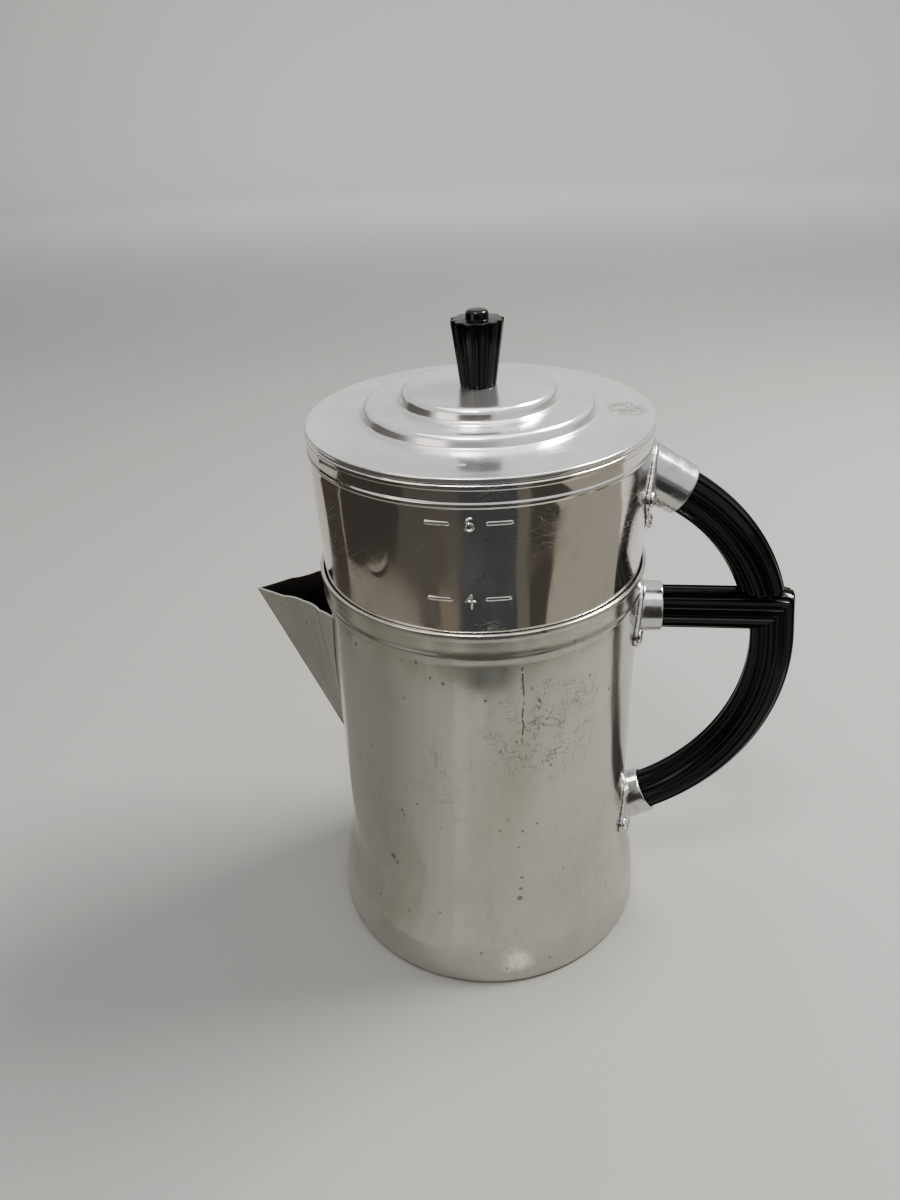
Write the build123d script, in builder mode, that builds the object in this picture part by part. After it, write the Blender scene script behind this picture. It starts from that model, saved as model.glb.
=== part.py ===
from build123d import *
import os
from math import asin, atan2, cos, degrees, radians, sin, tan

# Two-stage stovetop drip coffee pot, millimetres.
# +Z is up along the pot's axis and the origin is the centre of the flat base.
# The spout points to -X and both handles stand out to +X.

os.makedirs("parts", exist_ok=True)

# ---------------------------------------------------------------- driving dimensions
SHEET = 0.9  # aluminium sheet of the serving pot, the water container and the lid
THIN_SHEET = 0.7  # basket, drip plate and spreader
CLEARANCE = 0.3  # between parts that lift apart
BEYOND = 400.0  # size of trimming shapes that reach past the whole pot

BASE_RADIUS = 65.2
BASE_THICKNESS = 1.2
FOOT_EDGE = 1.2  # height of the foot's chamfered edge
FOOT_CHAMFER = 1.0  # how far that edge is cut in
FLARE_TOP = 41.0  # where the bell-shaped foot begins
FLARE_POINTS = ((64.2, 16.0), (61.8, 26.0), (59.7, 33.5))  # outside radius and height, foot upwards
POT_RADIUS_LOW = 58.9  # outside, at the top of the foot
POT_RADIUS_HIGH = 59.1  # outside, under the shoulder bead
SHOULDER = 155.0  # ledge that carries the water container
BEAD_BOTTOM = 153.3
BEAD_TOP = 156.6
BEAD_RADIUS = 60.2
COLLAR_RADIUS_LOW = 59.95  # outside
COLLAR_RADIUS_HIGH = 60.15
POT_RIM = 164.7
RIM_BEAD = 2.2  # height of a rolled rim
RIM_PROUD = 0.45  # how far a rolled rim stands out

CONTAINER_RADIUS_LOW = 58.7  # outside, at the shoulder
CONTAINER_RADIUS_HIGH = 59.95  # outside, under the rim
CONTAINER_RIM = 216.4
STAMPED_BEAD_LOW = 208.6
STAMPED_BEAD_HIGH = 210.8
NECK_RADIUS = 52.0  # outside
NECK_BOTTOM = 116.0
LEDGE_ROUND = 2.2
STAMPED_PROUD = 0.4
NECK_EDGE_ROUND = 0.5
WALL_ROUND = 1.0  # where the tapered wall meets its stamped bead

BASKET_FIT = 0.05  # radial, basket on neck
BASKET_TOP = 132.0
BASKET_BOTTOM = 78.0
BASKET_ROUND = 4.0
BASKET_HOLE = 0.9  # radius
BASKET_PITCH = 8.5  # between rings of holes
BASKET_RINGS = 5
DRIP_PLATE_DEPTH = 5.0
DRIP_PLATE_ROUND = 1.0
DRIP_HOLE = 1.1
DRIP_PITCH = 9.0
DRIP_RINGS = 3
SPREADER_HEIGHT = 98.0
SPREADER_RADIUS = NECK_RADIUS - 1.5
SPREADER_HOLE = 1.25
SPREADER_PITCH = 10.5
SPREADER_KNOB = 10.0

LID_RADIUS = 60.2
LID_EDGE = 218.5
LID_SKIRT_BOTTOM = 209.6
LID_PLATEAU = 228.0
LID_STEPS = ((26.3, LID_PLATEAU), (27.6, 223.6), (39.4, 223.6), (40.7, 219.7))  # radius and height
LID_STEP_ROUNDS = (2.6, 1.2, 2.4, 1.2)
KNOB_BASE_RADIUS = 6.2
KNOB_TOP_RADIUS = 9.05
KNOB_TOP = 250.0
KNOB_NUB_RADIUS = 3.85
OVERALL_HEIGHT = 253.0
KNOB_FLUTES = 12
KNOB_NUB_ROUND = 1.2
SCREW_RADIUS = 1.9
SCREW_TOP = 240.0
SCREW_HEAD = 3.9
SCREW_HEAD_DEPTH = 2.4
SCREW_SLOT = 0.9
WASHER_RADIUS = 5.5
WASHER_THICKNESS = 0.8

SPOUT_TIP = 89.8
SPOUT_TOP = 146.0
SPOUT_BOTTOM = 72.5
SPOUT_HALF_WIDTH = 25.2
WINDOW_INSET = 4.0  # the pour window is this much shorter than the spout
WINDOW_DROP = 0.5  # and its top this much lower

GRIP_RADIUS = 8.1  # fluted bar of both handles
GRIP_FLUTES = 14
FLUTE_RADIUS = 1.15
FLUTE_OUT = 0.35  # how far a flute's centre lies outside the bar
SOCKET_MOUTH_RADIUS = 9.5
SOCKET_ROOT_RADIUS = 10.0
SOCKET_BORE = GRIP_RADIUS + 0.05
TENON = 7.0  # length of grip inside a socket
FLANGE = 1.5
SIDE_RIVET_Y = 12.5
RIVET_SHANK = 1.6
RIVET_HEAD = 2.9
RIVET_DOME = 1.5
RIVET_HEAD_INSIDE = 0.8  # thickness of the formed head inside the wall
SET_SCREW_RADIUS = 1.5
SET_SCREW_SLOT = 0.6

BAR_HEIGHT = 141.75  # centreline of the lower handle's straight bar
LOWER_ARC_CENTRE = (28.7, 122.0)
LOWER_ARC_RADIUS = 82.2
UPPER_ARC_CENTRE = (35.5, 127.3)
UPPER_ARC_RADIUS = 72.1
HANDLE_GAP = 0.4  # between the hanging end of the upper grip and the bar below it

# each bracket: height of the side rivets, of the tail rivet and of the flange's round top
UPPER_BRACKET = {"side": 191.4, "tail": 177.6, "crown": 197.0}
MIDDLE_BRACKET = {"side": 136.0, "tail": 127.0, "crown": 141.75}
LOWER_BRACKET = {"side": 41.0, "tail": 30.0, "crown": 45.5}


# Half-sections of round pieces are drawn on this plane, so that no seam line
# of a turned surface runs under the handles or the spout.
PROFILE = Plane.YZ


def write(piece, name):
    """Name a finished piece and write it to its own file."""
    piece.part.label = name
    export_step(piece.part, f"parts/{name}.step")


def flare_spline(inset, start):
    """Outline of the bell-shaped foot, moved in by inset, from a start point up to the wall."""
    with BuildLine() as line:
        Spline(
            start,
            *[(radius - inset, z) for radius, z in FLARE_POINTS],
            (POT_RADIUS_LOW - inset, FLARE_TOP),
            tangents=((0, 1), (0, 1)),
        )
    return line.edge()


def pot_wall_radius(z):
    """Outside radius of the serving pot below its shoulder."""
    if z > FLARE_TOP:
        share = (z - FLARE_TOP) / (BEAD_BOTTOM - FLARE_TOP)
        return POT_RADIUS_LOW + (POT_RADIUS_HIGH - POT_RADIUS_LOW) * share
    flare = flare_spline(0, (BASE_RADIUS, FOOT_EDGE))
    low, high = 0.0, 1.0
    for _ in range(20):
        middle = (low + high) / 2
        if (flare @ middle).Y < z:
            low = middle
        else:
            high = middle
    return (flare @ middle).X


def container_radius(z):
    """Outside radius of the water container's tapered wall."""
    share = (z - SHOULDER) / (STAMPED_BEAD_LOW - SHOULDER)
    return CONTAINER_RADIUS_LOW + (CONTAINER_RADIUS_HIGH - CONTAINER_RADIUS_LOW) * share


def pot_section(inset, floor, top):
    """Half-section of the pot below its shoulder, shrunk by inset, standing on floor."""
    with BuildSketch(PROFILE) as section:
        with BuildLine():
            foot = Line((0, floor), (BASE_RADIUS - FOOT_CHAMFER - inset, floor))
            edge = Line(foot @ 1, (BASE_RADIUS - inset, floor + FOOT_EDGE))
            flare = add(flare_spline(inset, edge @ 1))
            Polyline(flare.edge() @ 1, (POT_RADIUS_HIGH - inset, top), (0, top), (0, floor))
        make_face()
    return section.sketch


def rivet_planes(bracket, radius_at):
    """Planes on the wall at a bracket's two side rivets and its tail rivet, facing out."""
    planes = []
    for y, z in ((-SIDE_RIVET_Y, bracket["side"]), (SIDE_RIVET_Y, bracket["side"]), (0, bracket["tail"])):
        radius = radius_at(z)
        turn = asin(y / radius)
        lean = (radius_at(z - 1) - radius_at(z + 1)) / 2
        outward = Vector(cos(turn), sin(turn), lean)
        sideways = (-sin(turn), cos(turn), 0)
        planes.append(Plane(origin=(radius * cos(turn), y, z), x_dir=sideways, z_dir=outward))
    return planes


def rivet_holes(planes):
    """Holes for the rivet shanks, through wall and flange."""
    with BuildPart() as holes:
        for plane in planes:
            with BuildSketch(plane):
                Circle(RIVET_SHANK)
            extrude(amount=4.0, both=True)
    return holes.part


def spout_wedge(tip, top):
    """Solid of V-shaped plan whose edge follows the keel, from its mouth into the pot."""
    slope = tan(SPOUT_HALF_ANGLE)
    with BuildPart() as wedge:
        with BuildSketch(Plane.XY.offset(top)):
            Polygon((-tip, 0), (-20, -slope * (tip - 20)), (-20, slope * (tip - 20)), align=None)
        extrude(amount=KEEL.length * 1.4, dir=-KEEL.normalized())
    return wedge.part


# ---------------------------------------------------------------- serving pot
KEEL = Vector(-(SPOUT_TIP - pot_wall_radius(SPOUT_BOTTOM)), 0, SPOUT_TOP - SPOUT_BOTTOM)
MOUTH_X = (POT_RADIUS_HIGH**2 - SPOUT_HALF_WIDTH**2) ** 0.5
SPOUT_HALF_ANGLE = atan2(SPOUT_HALF_WIDTH, SPOUT_TIP - MOUTH_X)
MIDDLE_RIVETS = rivet_planes(MIDDLE_BRACKET, pot_wall_radius)
LOWER_RIVETS = rivet_planes(LOWER_BRACKET, pot_wall_radius)

# Outside form of the pot up to its shoulder, used to trim what is fastened to it.
with BuildPart() as pot_form:
    add(pot_section(0, 0, BEAD_BOTTOM))
    revolve(axis=Axis.Z)

# Everything on the handles' side of the axis, cut away from the spout and its window.
with BuildPart() as handle_side:
    with BuildSketch(Plane.YZ):
        Rectangle(BEYOND, 2 * BEYOND)
    extrude(amount=BEYOND)

with BuildPart() as pour_window:
    add(spout_wedge(SPOUT_TIP - WINDOW_INSET, SPOUT_TOP - WINDOW_DROP))
    add(handle_side.part, mode=Mode.SUBTRACT)

with BuildPart() as pot_body:
    add(pot_section(0, 0, BEAD_BOTTOM))
    revolve(axis=Axis.Z)
    # shoulder bead, collar and rolled rim
    with BuildSketch(PROFILE):
        with BuildLine():
            shoulder = Line((0, BEAD_BOTTOM), (POT_RADIUS_HIGH, BEAD_BOTTOM))
            bead = ThreePointArc(
                shoulder @ 1,
                (BEAD_RADIUS, (BEAD_BOTTOM + BEAD_TOP) / 2),
                (COLLAR_RADIUS_LOW, BEAD_TOP),
            )
            collar = Line(bead @ 1, (COLLAR_RADIUS_HIGH, POT_RIM - RIM_BEAD))
            rolled = ThreePointArc(
                collar @ 1,
                (COLLAR_RADIUS_HIGH + RIM_PROUD, POT_RIM - RIM_BEAD / 2),
                (COLLAR_RADIUS_HIGH - 0.1, POT_RIM),
            )
            Polyline(rolled @ 1, (0, POT_RIM), shoulder @ 0)
        make_face()
    revolve(axis=Axis.Z)
    # inside below the ledge
    add(pot_section(SHEET, BASE_THICKNESS, SHOULDER))
    revolve(axis=Axis.Z, mode=Mode.SUBTRACT)
    # inside of the collar
    with BuildSketch(PROFILE):
        Polygon(
            (0, SHOULDER),
            (CONTAINER_RADIUS_LOW + CLEARANCE, SHOULDER),
            (container_radius(POT_RIM) + CLEARANCE, POT_RIM),
            (0, POT_RIM),
            align=None,
        )
    revolve(axis=Axis.Z, mode=Mode.SUBTRACT)
    add(pour_window.part, mode=Mode.SUBTRACT)
    add(rivet_holes(MIDDLE_RIVETS + LOWER_RIVETS), mode=Mode.SUBTRACT)
write(pot_body, "pot_body")

with BuildPart() as spout:
    add(spout_wedge(SPOUT_TIP, SPOUT_TOP))
    add(spout_wedge(SPOUT_TIP - SHEET / sin(SPOUT_HALF_ANGLE), SPOUT_TOP), mode=Mode.SUBTRACT)
    add(pot_form.part, mode=Mode.SUBTRACT)
    add(handle_side.part, mode=Mode.SUBTRACT)
write(spout, "spout")


# ---------------------------------------------------------------- water container
def container_section(inset, bottom, top):
    """Half-section of the water container from its axis: neck, ledge and tapered wall."""
    ledge = SHOULDER + inset
    with BuildSketch(PROFILE) as section:
        with BuildLine():
            side = FilletPolyline(
                (0, bottom),
                (NECK_RADIUS - inset, bottom),
                (NECK_RADIUS - inset, ledge),
                (container_radius(ledge) - inset, ledge),
                (CONTAINER_RADIUS_HIGH - inset, STAMPED_BEAD_LOW),
                radius=(NECK_EDGE_ROUND, LEDGE_ROUND, WALL_ROUND),
            )
            stamped = ThreePointArc(
                side @ 1,
                (CONTAINER_RADIUS_HIGH + STAMPED_PROUD - inset, (STAMPED_BEAD_LOW + STAMPED_BEAD_HIGH) / 2),
                (CONTAINER_RADIUS_HIGH - inset, STAMPED_BEAD_HIGH),
            )
            Polyline(stamped @ 1, (CONTAINER_RADIUS_HIGH - inset, top), (0, top), side @ 0)
        make_face()
    return section.sketch


UPPER_RIVETS = rivet_planes(UPPER_BRACKET, container_radius)

with BuildPart() as container_form:
    add(container_section(0, NECK_BOTTOM, CONTAINER_RIM))
    revolve(axis=Axis.Z)

with BuildPart() as water_container:
    add(container_form.part)
    # rolled rim
    with BuildSketch(PROFILE):
        with BuildLine():
            rolled = ThreePointArc(
                (CONTAINER_RADIUS_HIGH, CONTAINER_RIM - RIM_BEAD),
                (CONTAINER_RADIUS_HIGH + RIM_PROUD, CONTAINER_RIM - RIM_BEAD / 2),
                (CONTAINER_RADIUS_HIGH, CONTAINER_RIM),
            )
            Polyline(rolled @ 1, (0, CONTAINER_RIM), (0, CONTAINER_RIM - RIM_BEAD), rolled @ 0)
        make_face()
    revolve(axis=Axis.Z)
    add(container_section(SHEET, NECK_BOTTOM, CONTAINER_RIM))
    revolve(axis=Axis.Z, mode=Mode.SUBTRACT)
    add(rivet_holes(UPPER_RIVETS), mode=Mode.SUBTRACT)
write(water_container, "water_container")


def hole_rings(height, pitch, rings, radius):
    """Drilled holes in a floor: one in the middle and six more in every further ring."""
    with BuildPart() as holes:
        with BuildSketch(Plane.XY.offset(height)):
            Circle(radius)
            for ring in range(1, rings + 1):
                with PolarLocations(pitch * ring, 6 * ring):
                    Circle(radius)
        extrude(amount=2 * SHEET, both=True)
    return holes.part


def pan(outer, bottom, top, corner):
    """Round pan of the thin sheet, open at the top."""
    with BuildPart() as shell:
        with BuildSketch(Plane.XY.offset(bottom)):
            Circle(outer)
        extrude(amount=top - bottom)
        fillet(shell.faces().sort_by(Axis.Z)[0].edges(), corner)
        offset(amount=-THIN_SHEET, openings=shell.faces().sort_by(Axis.Z)[-1])
    return shell.part


DRIP_PLATE_RADIUS = NECK_RADIUS - SHEET
with BuildPart() as drip_plate:
    add(pan(DRIP_PLATE_RADIUS, NECK_BOTTOM, NECK_BOTTOM + DRIP_PLATE_DEPTH, DRIP_PLATE_ROUND))
    add(hole_rings(NECK_BOTTOM, DRIP_PITCH, DRIP_RINGS, DRIP_HOLE), mode=Mode.SUBTRACT)
write(drip_plate, "drip_plate")

# ---------------------------------------------------------------- coffee basket and spreader
BASKET_RADIUS = NECK_RADIUS + BASKET_FIT + THIN_SHEET
with BuildPart() as coffee_basket:
    add(pan(BASKET_RADIUS, BASKET_BOTTOM, BASKET_TOP, BASKET_ROUND))
    add(hole_rings(BASKET_BOTTOM, BASKET_PITCH, BASKET_RINGS, BASKET_HOLE), mode=Mode.SUBTRACT)
write(coffee_basket, "coffee_basket")

with BuildPart() as spreader_plate:
    with BuildSketch(Plane.XY.offset(SPREADER_HEIGHT)):
        Circle(SPREADER_RADIUS)
        Circle(RIVET_SHANK, mode=Mode.SUBTRACT)
        for ring in (2, 3, 4):
            with PolarLocations(SPREADER_PITCH * ring, 6 * ring):
                Circle(SPREADER_HOLE, mode=Mode.SUBTRACT)
    extrude(amount=THIN_SHEET)
write(spreader_plate, "spreader_plate")

SPREADER_TOP = Plane.XY.offset(SPREADER_HEIGHT + THIN_SHEET)
with BuildPart() as spreader_knob:
    with BuildSketch(Plane(origin=SPREADER_TOP.origin, x_dir=PROFILE.x_dir, z_dir=PROFILE.z_dir)):
        with BuildLine():
            base = Line((RIVET_SHANK, 0), (4.6, 0))
            waist = ThreePointArc(base @ 1, (3.3, 3.4), (5.2, 6.6))
            crown = ThreePointArc(waist @ 1, (5.0, 9.0), (3.2, SPREADER_KNOB))
            Polyline(crown @ 1, (RIVET_SHANK, SPREADER_KNOB), base @ 0)
        make_face()
    revolve(axis=Axis.Z)
write(spreader_knob, "spreader_knob")

with BuildPart() as spreader_rivet:
    with BuildSketch(Plane.XY.offset(SPREADER_HEIGHT)):
        Circle(RIVET_SHANK)
    extrude(amount=THIN_SHEET + SPREADER_KNOB)
    with BuildSketch(Plane.XY.offset(SPREADER_HEIGHT)):
        Circle(RIVET_HEAD)
    extrude(amount=-0.9, taper=30)
    with BuildSketch(SPREADER_TOP.offset(SPREADER_KNOB)):
        Circle(RIVET_HEAD)
    extrude(amount=1.0, taper=40)
write(spreader_rivet, "spreader_rivet")

# ---------------------------------------------------------------- lid and its knob
SKIRT_RADIUS = CONTAINER_RADIUS_HIGH - SHEET - CLEARANCE - 0.05


def lid_section(drop, outline):
    """Half-section of the lid: its stepped top, lowered by drop, closed along outline."""
    steps = [(radius, z - drop) for radius, z in LID_STEPS]
    with BuildSketch(PROFILE) as section:
        with BuildLine():
            top = FilletPolyline(
                (0, LID_PLATEAU - drop),
                *steps,
                (outline[0][0], LID_EDGE - drop),
                radius=LID_STEP_ROUNDS,
            )
            Polyline(top @ 1, *outline[1:], (0, LID_SKIRT_BOTTOM), top @ 0)
        make_face()
    return section.sketch


with BuildPart() as lid:
    add(
        lid_section(
            0,
            (
                (LID_RADIUS - 0.9, LID_EDGE),
                (LID_RADIUS - 0.2, LID_EDGE - 0.5),
                (LID_RADIUS, LID_EDGE - 1.1),
                (LID_RADIUS, CONTAINER_RIM),
                (SKIRT_RADIUS, CONTAINER_RIM),
                (SKIRT_RADIUS, LID_SKIRT_BOTTOM),
            ),
        )
    )
    revolve(axis=Axis.Z)
    add(
        lid_section(
            SHEET,
            (
                (SKIRT_RADIUS - SHEET, LID_EDGE - SHEET),
                (SKIRT_RADIUS - SHEET, LID_SKIRT_BOTTOM),
            ),
        )
    )
    revolve(axis=Axis.Z, mode=Mode.SUBTRACT)
    with BuildSketch(Plane.XY.offset(LID_PLATEAU)):
        Circle(SCREW_RADIUS)
    extrude(amount=3, both=True, mode=Mode.SUBTRACT)
write(lid, "lid")

LID_UNDERSIDE = LID_PLATEAU - SHEET


def fluted_disc(height, radius):
    """Cross-section of the lid's knob at a height."""
    with BuildSketch(Plane.XY.offset(height)) as disc:
        Circle(radius)
        with PolarLocations(radius * 1.06, KNOB_FLUTES):
            Circle(radius * 0.16, mode=Mode.SUBTRACT)
    return disc.sketch


with BuildPart() as lid_knob:
    add(fluted_disc(LID_PLATEAU, KNOB_BASE_RADIUS))
    add(fluted_disc(KNOB_TOP, KNOB_TOP_RADIUS))
    loft()
    with BuildSketch(Plane.XY.offset(KNOB_TOP)):
        Circle(KNOB_NUB_RADIUS)
    extrude(amount=OVERALL_HEIGHT - KNOB_TOP)
    fillet(lid_knob.faces().sort_by(Axis.Z)[-1].edges(), KNOB_NUB_ROUND)
    with BuildSketch(Plane.XY.offset(LID_PLATEAU)):
        Circle(SCREW_RADIUS)
    extrude(amount=SCREW_TOP - LID_PLATEAU, mode=Mode.SUBTRACT)
write(lid_knob, "lid_knob")

with BuildPart() as knob_washer:
    with BuildSketch(Plane.XY.offset(LID_UNDERSIDE)):
        Circle(WASHER_RADIUS)
        Circle(SCREW_RADIUS, mode=Mode.SUBTRACT)
    extrude(amount=-WASHER_THICKNESS)
write(knob_washer, "knob_washer")

SCREW_SEAT_PLANE = Plane.XY.offset(LID_UNDERSIDE - WASHER_THICKNESS)
with BuildPart() as knob_screw:
    with BuildSketch(SCREW_SEAT_PLANE):
        Circle(SCREW_RADIUS)
    extrude(amount=SCREW_TOP - LID_UNDERSIDE + WASHER_THICKNESS)
    with BuildSketch(SCREW_SEAT_PLANE):
        Circle(SCREW_HEAD)
    extrude(amount=-SCREW_HEAD_DEPTH, taper=20)
    with BuildSketch(SCREW_SEAT_PLANE.offset(-SCREW_HEAD_DEPTH)):
        Rectangle(3 * SCREW_HEAD, SCREW_SLOT)
    extrude(amount=1.0, mode=Mode.SUBTRACT)
write(knob_screw, "knob_screw")


# ---------------------------------------------------------------- grips
def grip_section(plane, radius=GRIP_RADIUS, fluted=True):
    """Round bar across its path, with evenly spaced lengthwise flutes."""
    with BuildSketch(plane) as section:
        Circle(radius)
        if fluted:
            with PolarLocations(radius + FLUTE_OUT, GRIP_FLUTES):
                Circle(FLUTE_RADIUS, mode=Mode.SUBTRACT)
    return section.sketch


def arc_plane(centre, radius, angle, towards):
    """Plane across a grip's arc; towards is +1 or -1 for the way that its normal follows."""
    turn = radians(angle)
    origin = (centre[0] + radius * cos(turn), 0, centre[1] + radius * sin(turn))
    return Plane(origin=origin, x_dir=(0, 1, 0), z_dir=(-towards * sin(turn), 0, towards * cos(turn)))


def grip_arc(section, centre, radius, start, end):
    """Bar swept along an arc of the handles' vertical plane, between two angles."""
    with BuildPart() as bar:
        with BuildLine(Plane.XZ):
            CenterArc(centre, radius, start, end - start)
        add(section)
        sweep()
    return bar.part


UPPER_ARC = (UPPER_ARC_CENTRE, UPPER_ARC_RADIUS)
LOWER_ARC = (LOWER_ARC_CENTRE, LOWER_ARC_RADIUS)
UPPER_MOUTH = 59.5  # angles on the arcs, degrees
UPPER_START = UPPER_MOUTH + degrees(TENON / UPPER_ARC_RADIUS)
UPPER_END = degrees(asin((BAR_HEIGHT - UPPER_ARC_CENTRE[1]) / UPPER_ARC_RADIUS))
LOWER_MOUTH = -61.0
LOWER_START = LOWER_MOUTH - degrees(TENON / LOWER_ARC_RADIUS)
LOWER_END = 7.0  # from here a short straight run leads up to the corner
MIDDLE_MOUTH = 68.0

UPPER_SOCKET = arc_plane(*UPPER_ARC, UPPER_MOUTH, -1)
LOWER_SOCKET = arc_plane(*LOWER_ARC, LOWER_MOUTH, 1)
MIDDLE_SOCKET = Plane(origin=(MIDDLE_MOUTH, 0, BAR_HEIGHT), x_dir=(0, 1, 0), z_dir=(1, 0, 0))
BAR_END = MIDDLE_SOCKET.offset(-TENON)

# Each set screw stands square to the grip, half way along the tenon, on the socket's underside.
SET_SCREW_LENGTH = 5.0
SCREW_SEAT = SOCKET_MOUTH_RADIUS - 0.1


def screw_plane(arc, angle, side):
    """Plane of a set screw's outer end on a curved grip; side is +1 outside the arc, -1 inside."""
    (x, z), radius = arc
    turn = radians(angle)
    reach = radius + side * SCREW_SEAT
    origin = (x + reach * cos(turn), 0, z + reach * sin(turn))
    return Plane(origin=origin, x_dir=(0, 1, 0), z_dir=(side * cos(turn), 0, side * sin(turn)))


UPPER_SCREW = screw_plane(UPPER_ARC, (UPPER_MOUTH + UPPER_START) / 2, -1)
LOWER_SCREW = screw_plane(LOWER_ARC, (LOWER_MOUTH + LOWER_START) / 2, 1)
MIDDLE_SCREW = Plane(
    origin=(MIDDLE_MOUTH - TENON / 2, 0, BAR_HEIGHT - SCREW_SEAT), x_dir=(0, 1, 0), z_dir=(0, 0, -1)
)


def screw_holes(planes, outside):
    """Tapped holes for the set screws, running out past the socket by outside."""
    with BuildPart() as holes:
        for plane in planes:
            with BuildSketch(plane.offset(-SET_SCREW_LENGTH)):
                Circle(SET_SCREW_RADIUS)
            extrude(amount=SET_SCREW_LENGTH + outside)
    return holes.part


def make_set_screws(planes):
    """Slotted set screws."""
    with BuildPart() as screws:
        for plane in planes:
            with BuildSketch(plane.offset(-SET_SCREW_LENGTH)):
                Circle(SET_SCREW_RADIUS)
            extrude(amount=SET_SCREW_LENGTH)
            with BuildSketch(plane):
                Rectangle(4 * SET_SCREW_RADIUS, SET_SCREW_SLOT)
            extrude(amount=-0.8, mode=Mode.SUBTRACT)
    return screws


with BuildPart() as upper_handle:
    add(grip_arc(grip_section(arc_plane(*UPPER_ARC, UPPER_START, -1)), *UPPER_ARC, UPPER_START, UPPER_END))
    # the hanging end is cut level, just above the bar of the lower grip
    with BuildSketch(Plane.XY.offset(BAR_HEIGHT + GRIP_RADIUS + HANDLE_GAP)):
        Rectangle(BEYOND, BEYOND)
    extrude(amount=-BEYOND, mode=Mode.SUBTRACT)
    add(screw_holes([UPPER_SCREW], 4), mode=Mode.SUBTRACT)
write(upper_handle, "upper_handle")

# The level bar of the lower grip and the straight top of its arc meet in a mitred corner.
ARC_TOP = arc_plane(*LOWER_ARC, LOWER_END, 1)
CORNER_RISE = (BAR_HEIGHT - ARC_TOP.origin.Z) / ARC_TOP.z_dir.Z
CORNER = ARC_TOP.origin + ARC_TOP.z_dir * CORNER_RISE
MITRE_LINE = Vector(-1, 0, 0) - ARC_TOP.z_dir
MITRE = Plane(origin=CORNER, x_dir=(0, 1, 0), z_dir=(-MITRE_LINE.Z, 0, MITRE_LINE.X))

with BuildPart() as level_bar:
    add(grip_section(BAR_END))
    extrude(amount=CORNER.X - BAR_END.origin.X + 2 * GRIP_RADIUS, dir=(1, 0, 0))
    split(bisect_by=MITRE, keep=Keep.BOTTOM)

with BuildPart() as upright_bar:
    add(grip_section(ARC_TOP))
    extrude(amount=CORNER_RISE + 2 * GRIP_RADIUS, dir=ARC_TOP.z_dir)
    split(bisect_by=MITRE, keep=Keep.TOP)

with BuildPart() as lower_handle:
    add(
        grip_arc(grip_section(arc_plane(*LOWER_ARC, LOWER_START, 1)), *LOWER_ARC, LOWER_START, LOWER_END)
    )
    add(upright_bar.part)
    add(level_bar.part)
    add(screw_holes([MIDDLE_SCREW, LOWER_SCREW], 4), mode=Mode.SUBTRACT)
write(lower_handle, "lower_handle")


# ---------------------------------------------------------------- brackets, rivets and set screws
def flange_outline(bracket):
    """Shield-shaped outline of a bracket's flange, as seen along the handle."""
    with BuildSketch(Plane.YZ) as outline:
        with Locations((0, bracket["crown"])):
            Circle(SOCKET_ROOT_RADIUS + 0.8)
        with Locations((-SIDE_RIVET_Y, bracket["side"]), (SIDE_RIVET_Y, bracket["side"])):
            Circle(RIVET_HEAD + 1.2)
        with Locations((0, bracket["tail"])):
            Circle(RIVET_HEAD + 0.9)
        make_hull()
    return outline.sketch


def make_bracket(bracket, mouth, reach, wall, shell, rivets, bore, screw):
    """Cast bracket: a flange that lies on the wall and a tapered socket for the grip.

    mouth is the plane of the socket's opening, facing out along the grip, and reach is how
    far the socket runs back to the wall. wall and shell trim it to the pot or container.
    """
    with BuildPart() as flange:
        add(flange_outline(bracket))
        extrude(amount=100, dir=(1, 0, 0))
        add(shell, mode=Mode.INTERSECT)
    with BuildPart() as cast:
        with BuildSketch(mouth):
            Circle(SOCKET_MOUTH_RADIUS)
        with BuildSketch(mouth.offset(-reach)):
            Circle(SOCKET_ROOT_RADIUS)
        loft()
        fillet(cast.faces().sort_by(Axis(mouth.origin, mouth.z_dir))[-1].edges(), 0.5)
        add(wall, mode=Mode.SUBTRACT)
        add(flange.part)
        add(bore, mode=Mode.SUBTRACT)
        add(rivet_holes(rivets), mode=Mode.SUBTRACT)
        add(screw_holes([screw], 4), mode=Mode.SUBTRACT)
    return cast


def make_rivets(planes):
    """Rivets with a domed head on the flange and a flatter formed head inside the wall."""
    inside = SHEET + 0.1
    with BuildPart() as rivets:
        for plane in planes:
            with BuildSketch(plane.offset(-inside)):
                Circle(RIVET_SHANK)
            extrude(amount=inside + FLANGE + 0.1)
            with BuildSketch(plane.offset(FLANGE + 0.05)):
                Circle(RIVET_HEAD)
            extrude(amount=RIVET_DOME, taper=32)
            with BuildSketch(plane.offset(-inside)):
                Circle(RIVET_HEAD)
            extrude(amount=-RIVET_HEAD_INSIDE, taper=30)
    return rivets


# Shells of the flange's thickness on the outside of the pot and of the water container.
with BuildPart() as pot_shell:
    add(pot_section(-FLANGE, 0, BEAD_BOTTOM))
    revolve(axis=Axis.Z)
    add(pot_form.part, mode=Mode.SUBTRACT)
with BuildPart() as container_shell:
    with BuildSketch(PROFILE):
        Polygon(
            (container_radius(SHOULDER + 5), SHOULDER + 5),
            (container_radius(SHOULDER + 5) + FLANGE, SHOULDER + 5),
            (CONTAINER_RADIUS_HIGH + FLANGE, STAMPED_BEAD_LOW),
            (CONTAINER_RADIUS_HIGH, STAMPED_BEAD_LOW),
            align=None,
        )
    revolve(axis=Axis.Z)

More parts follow.
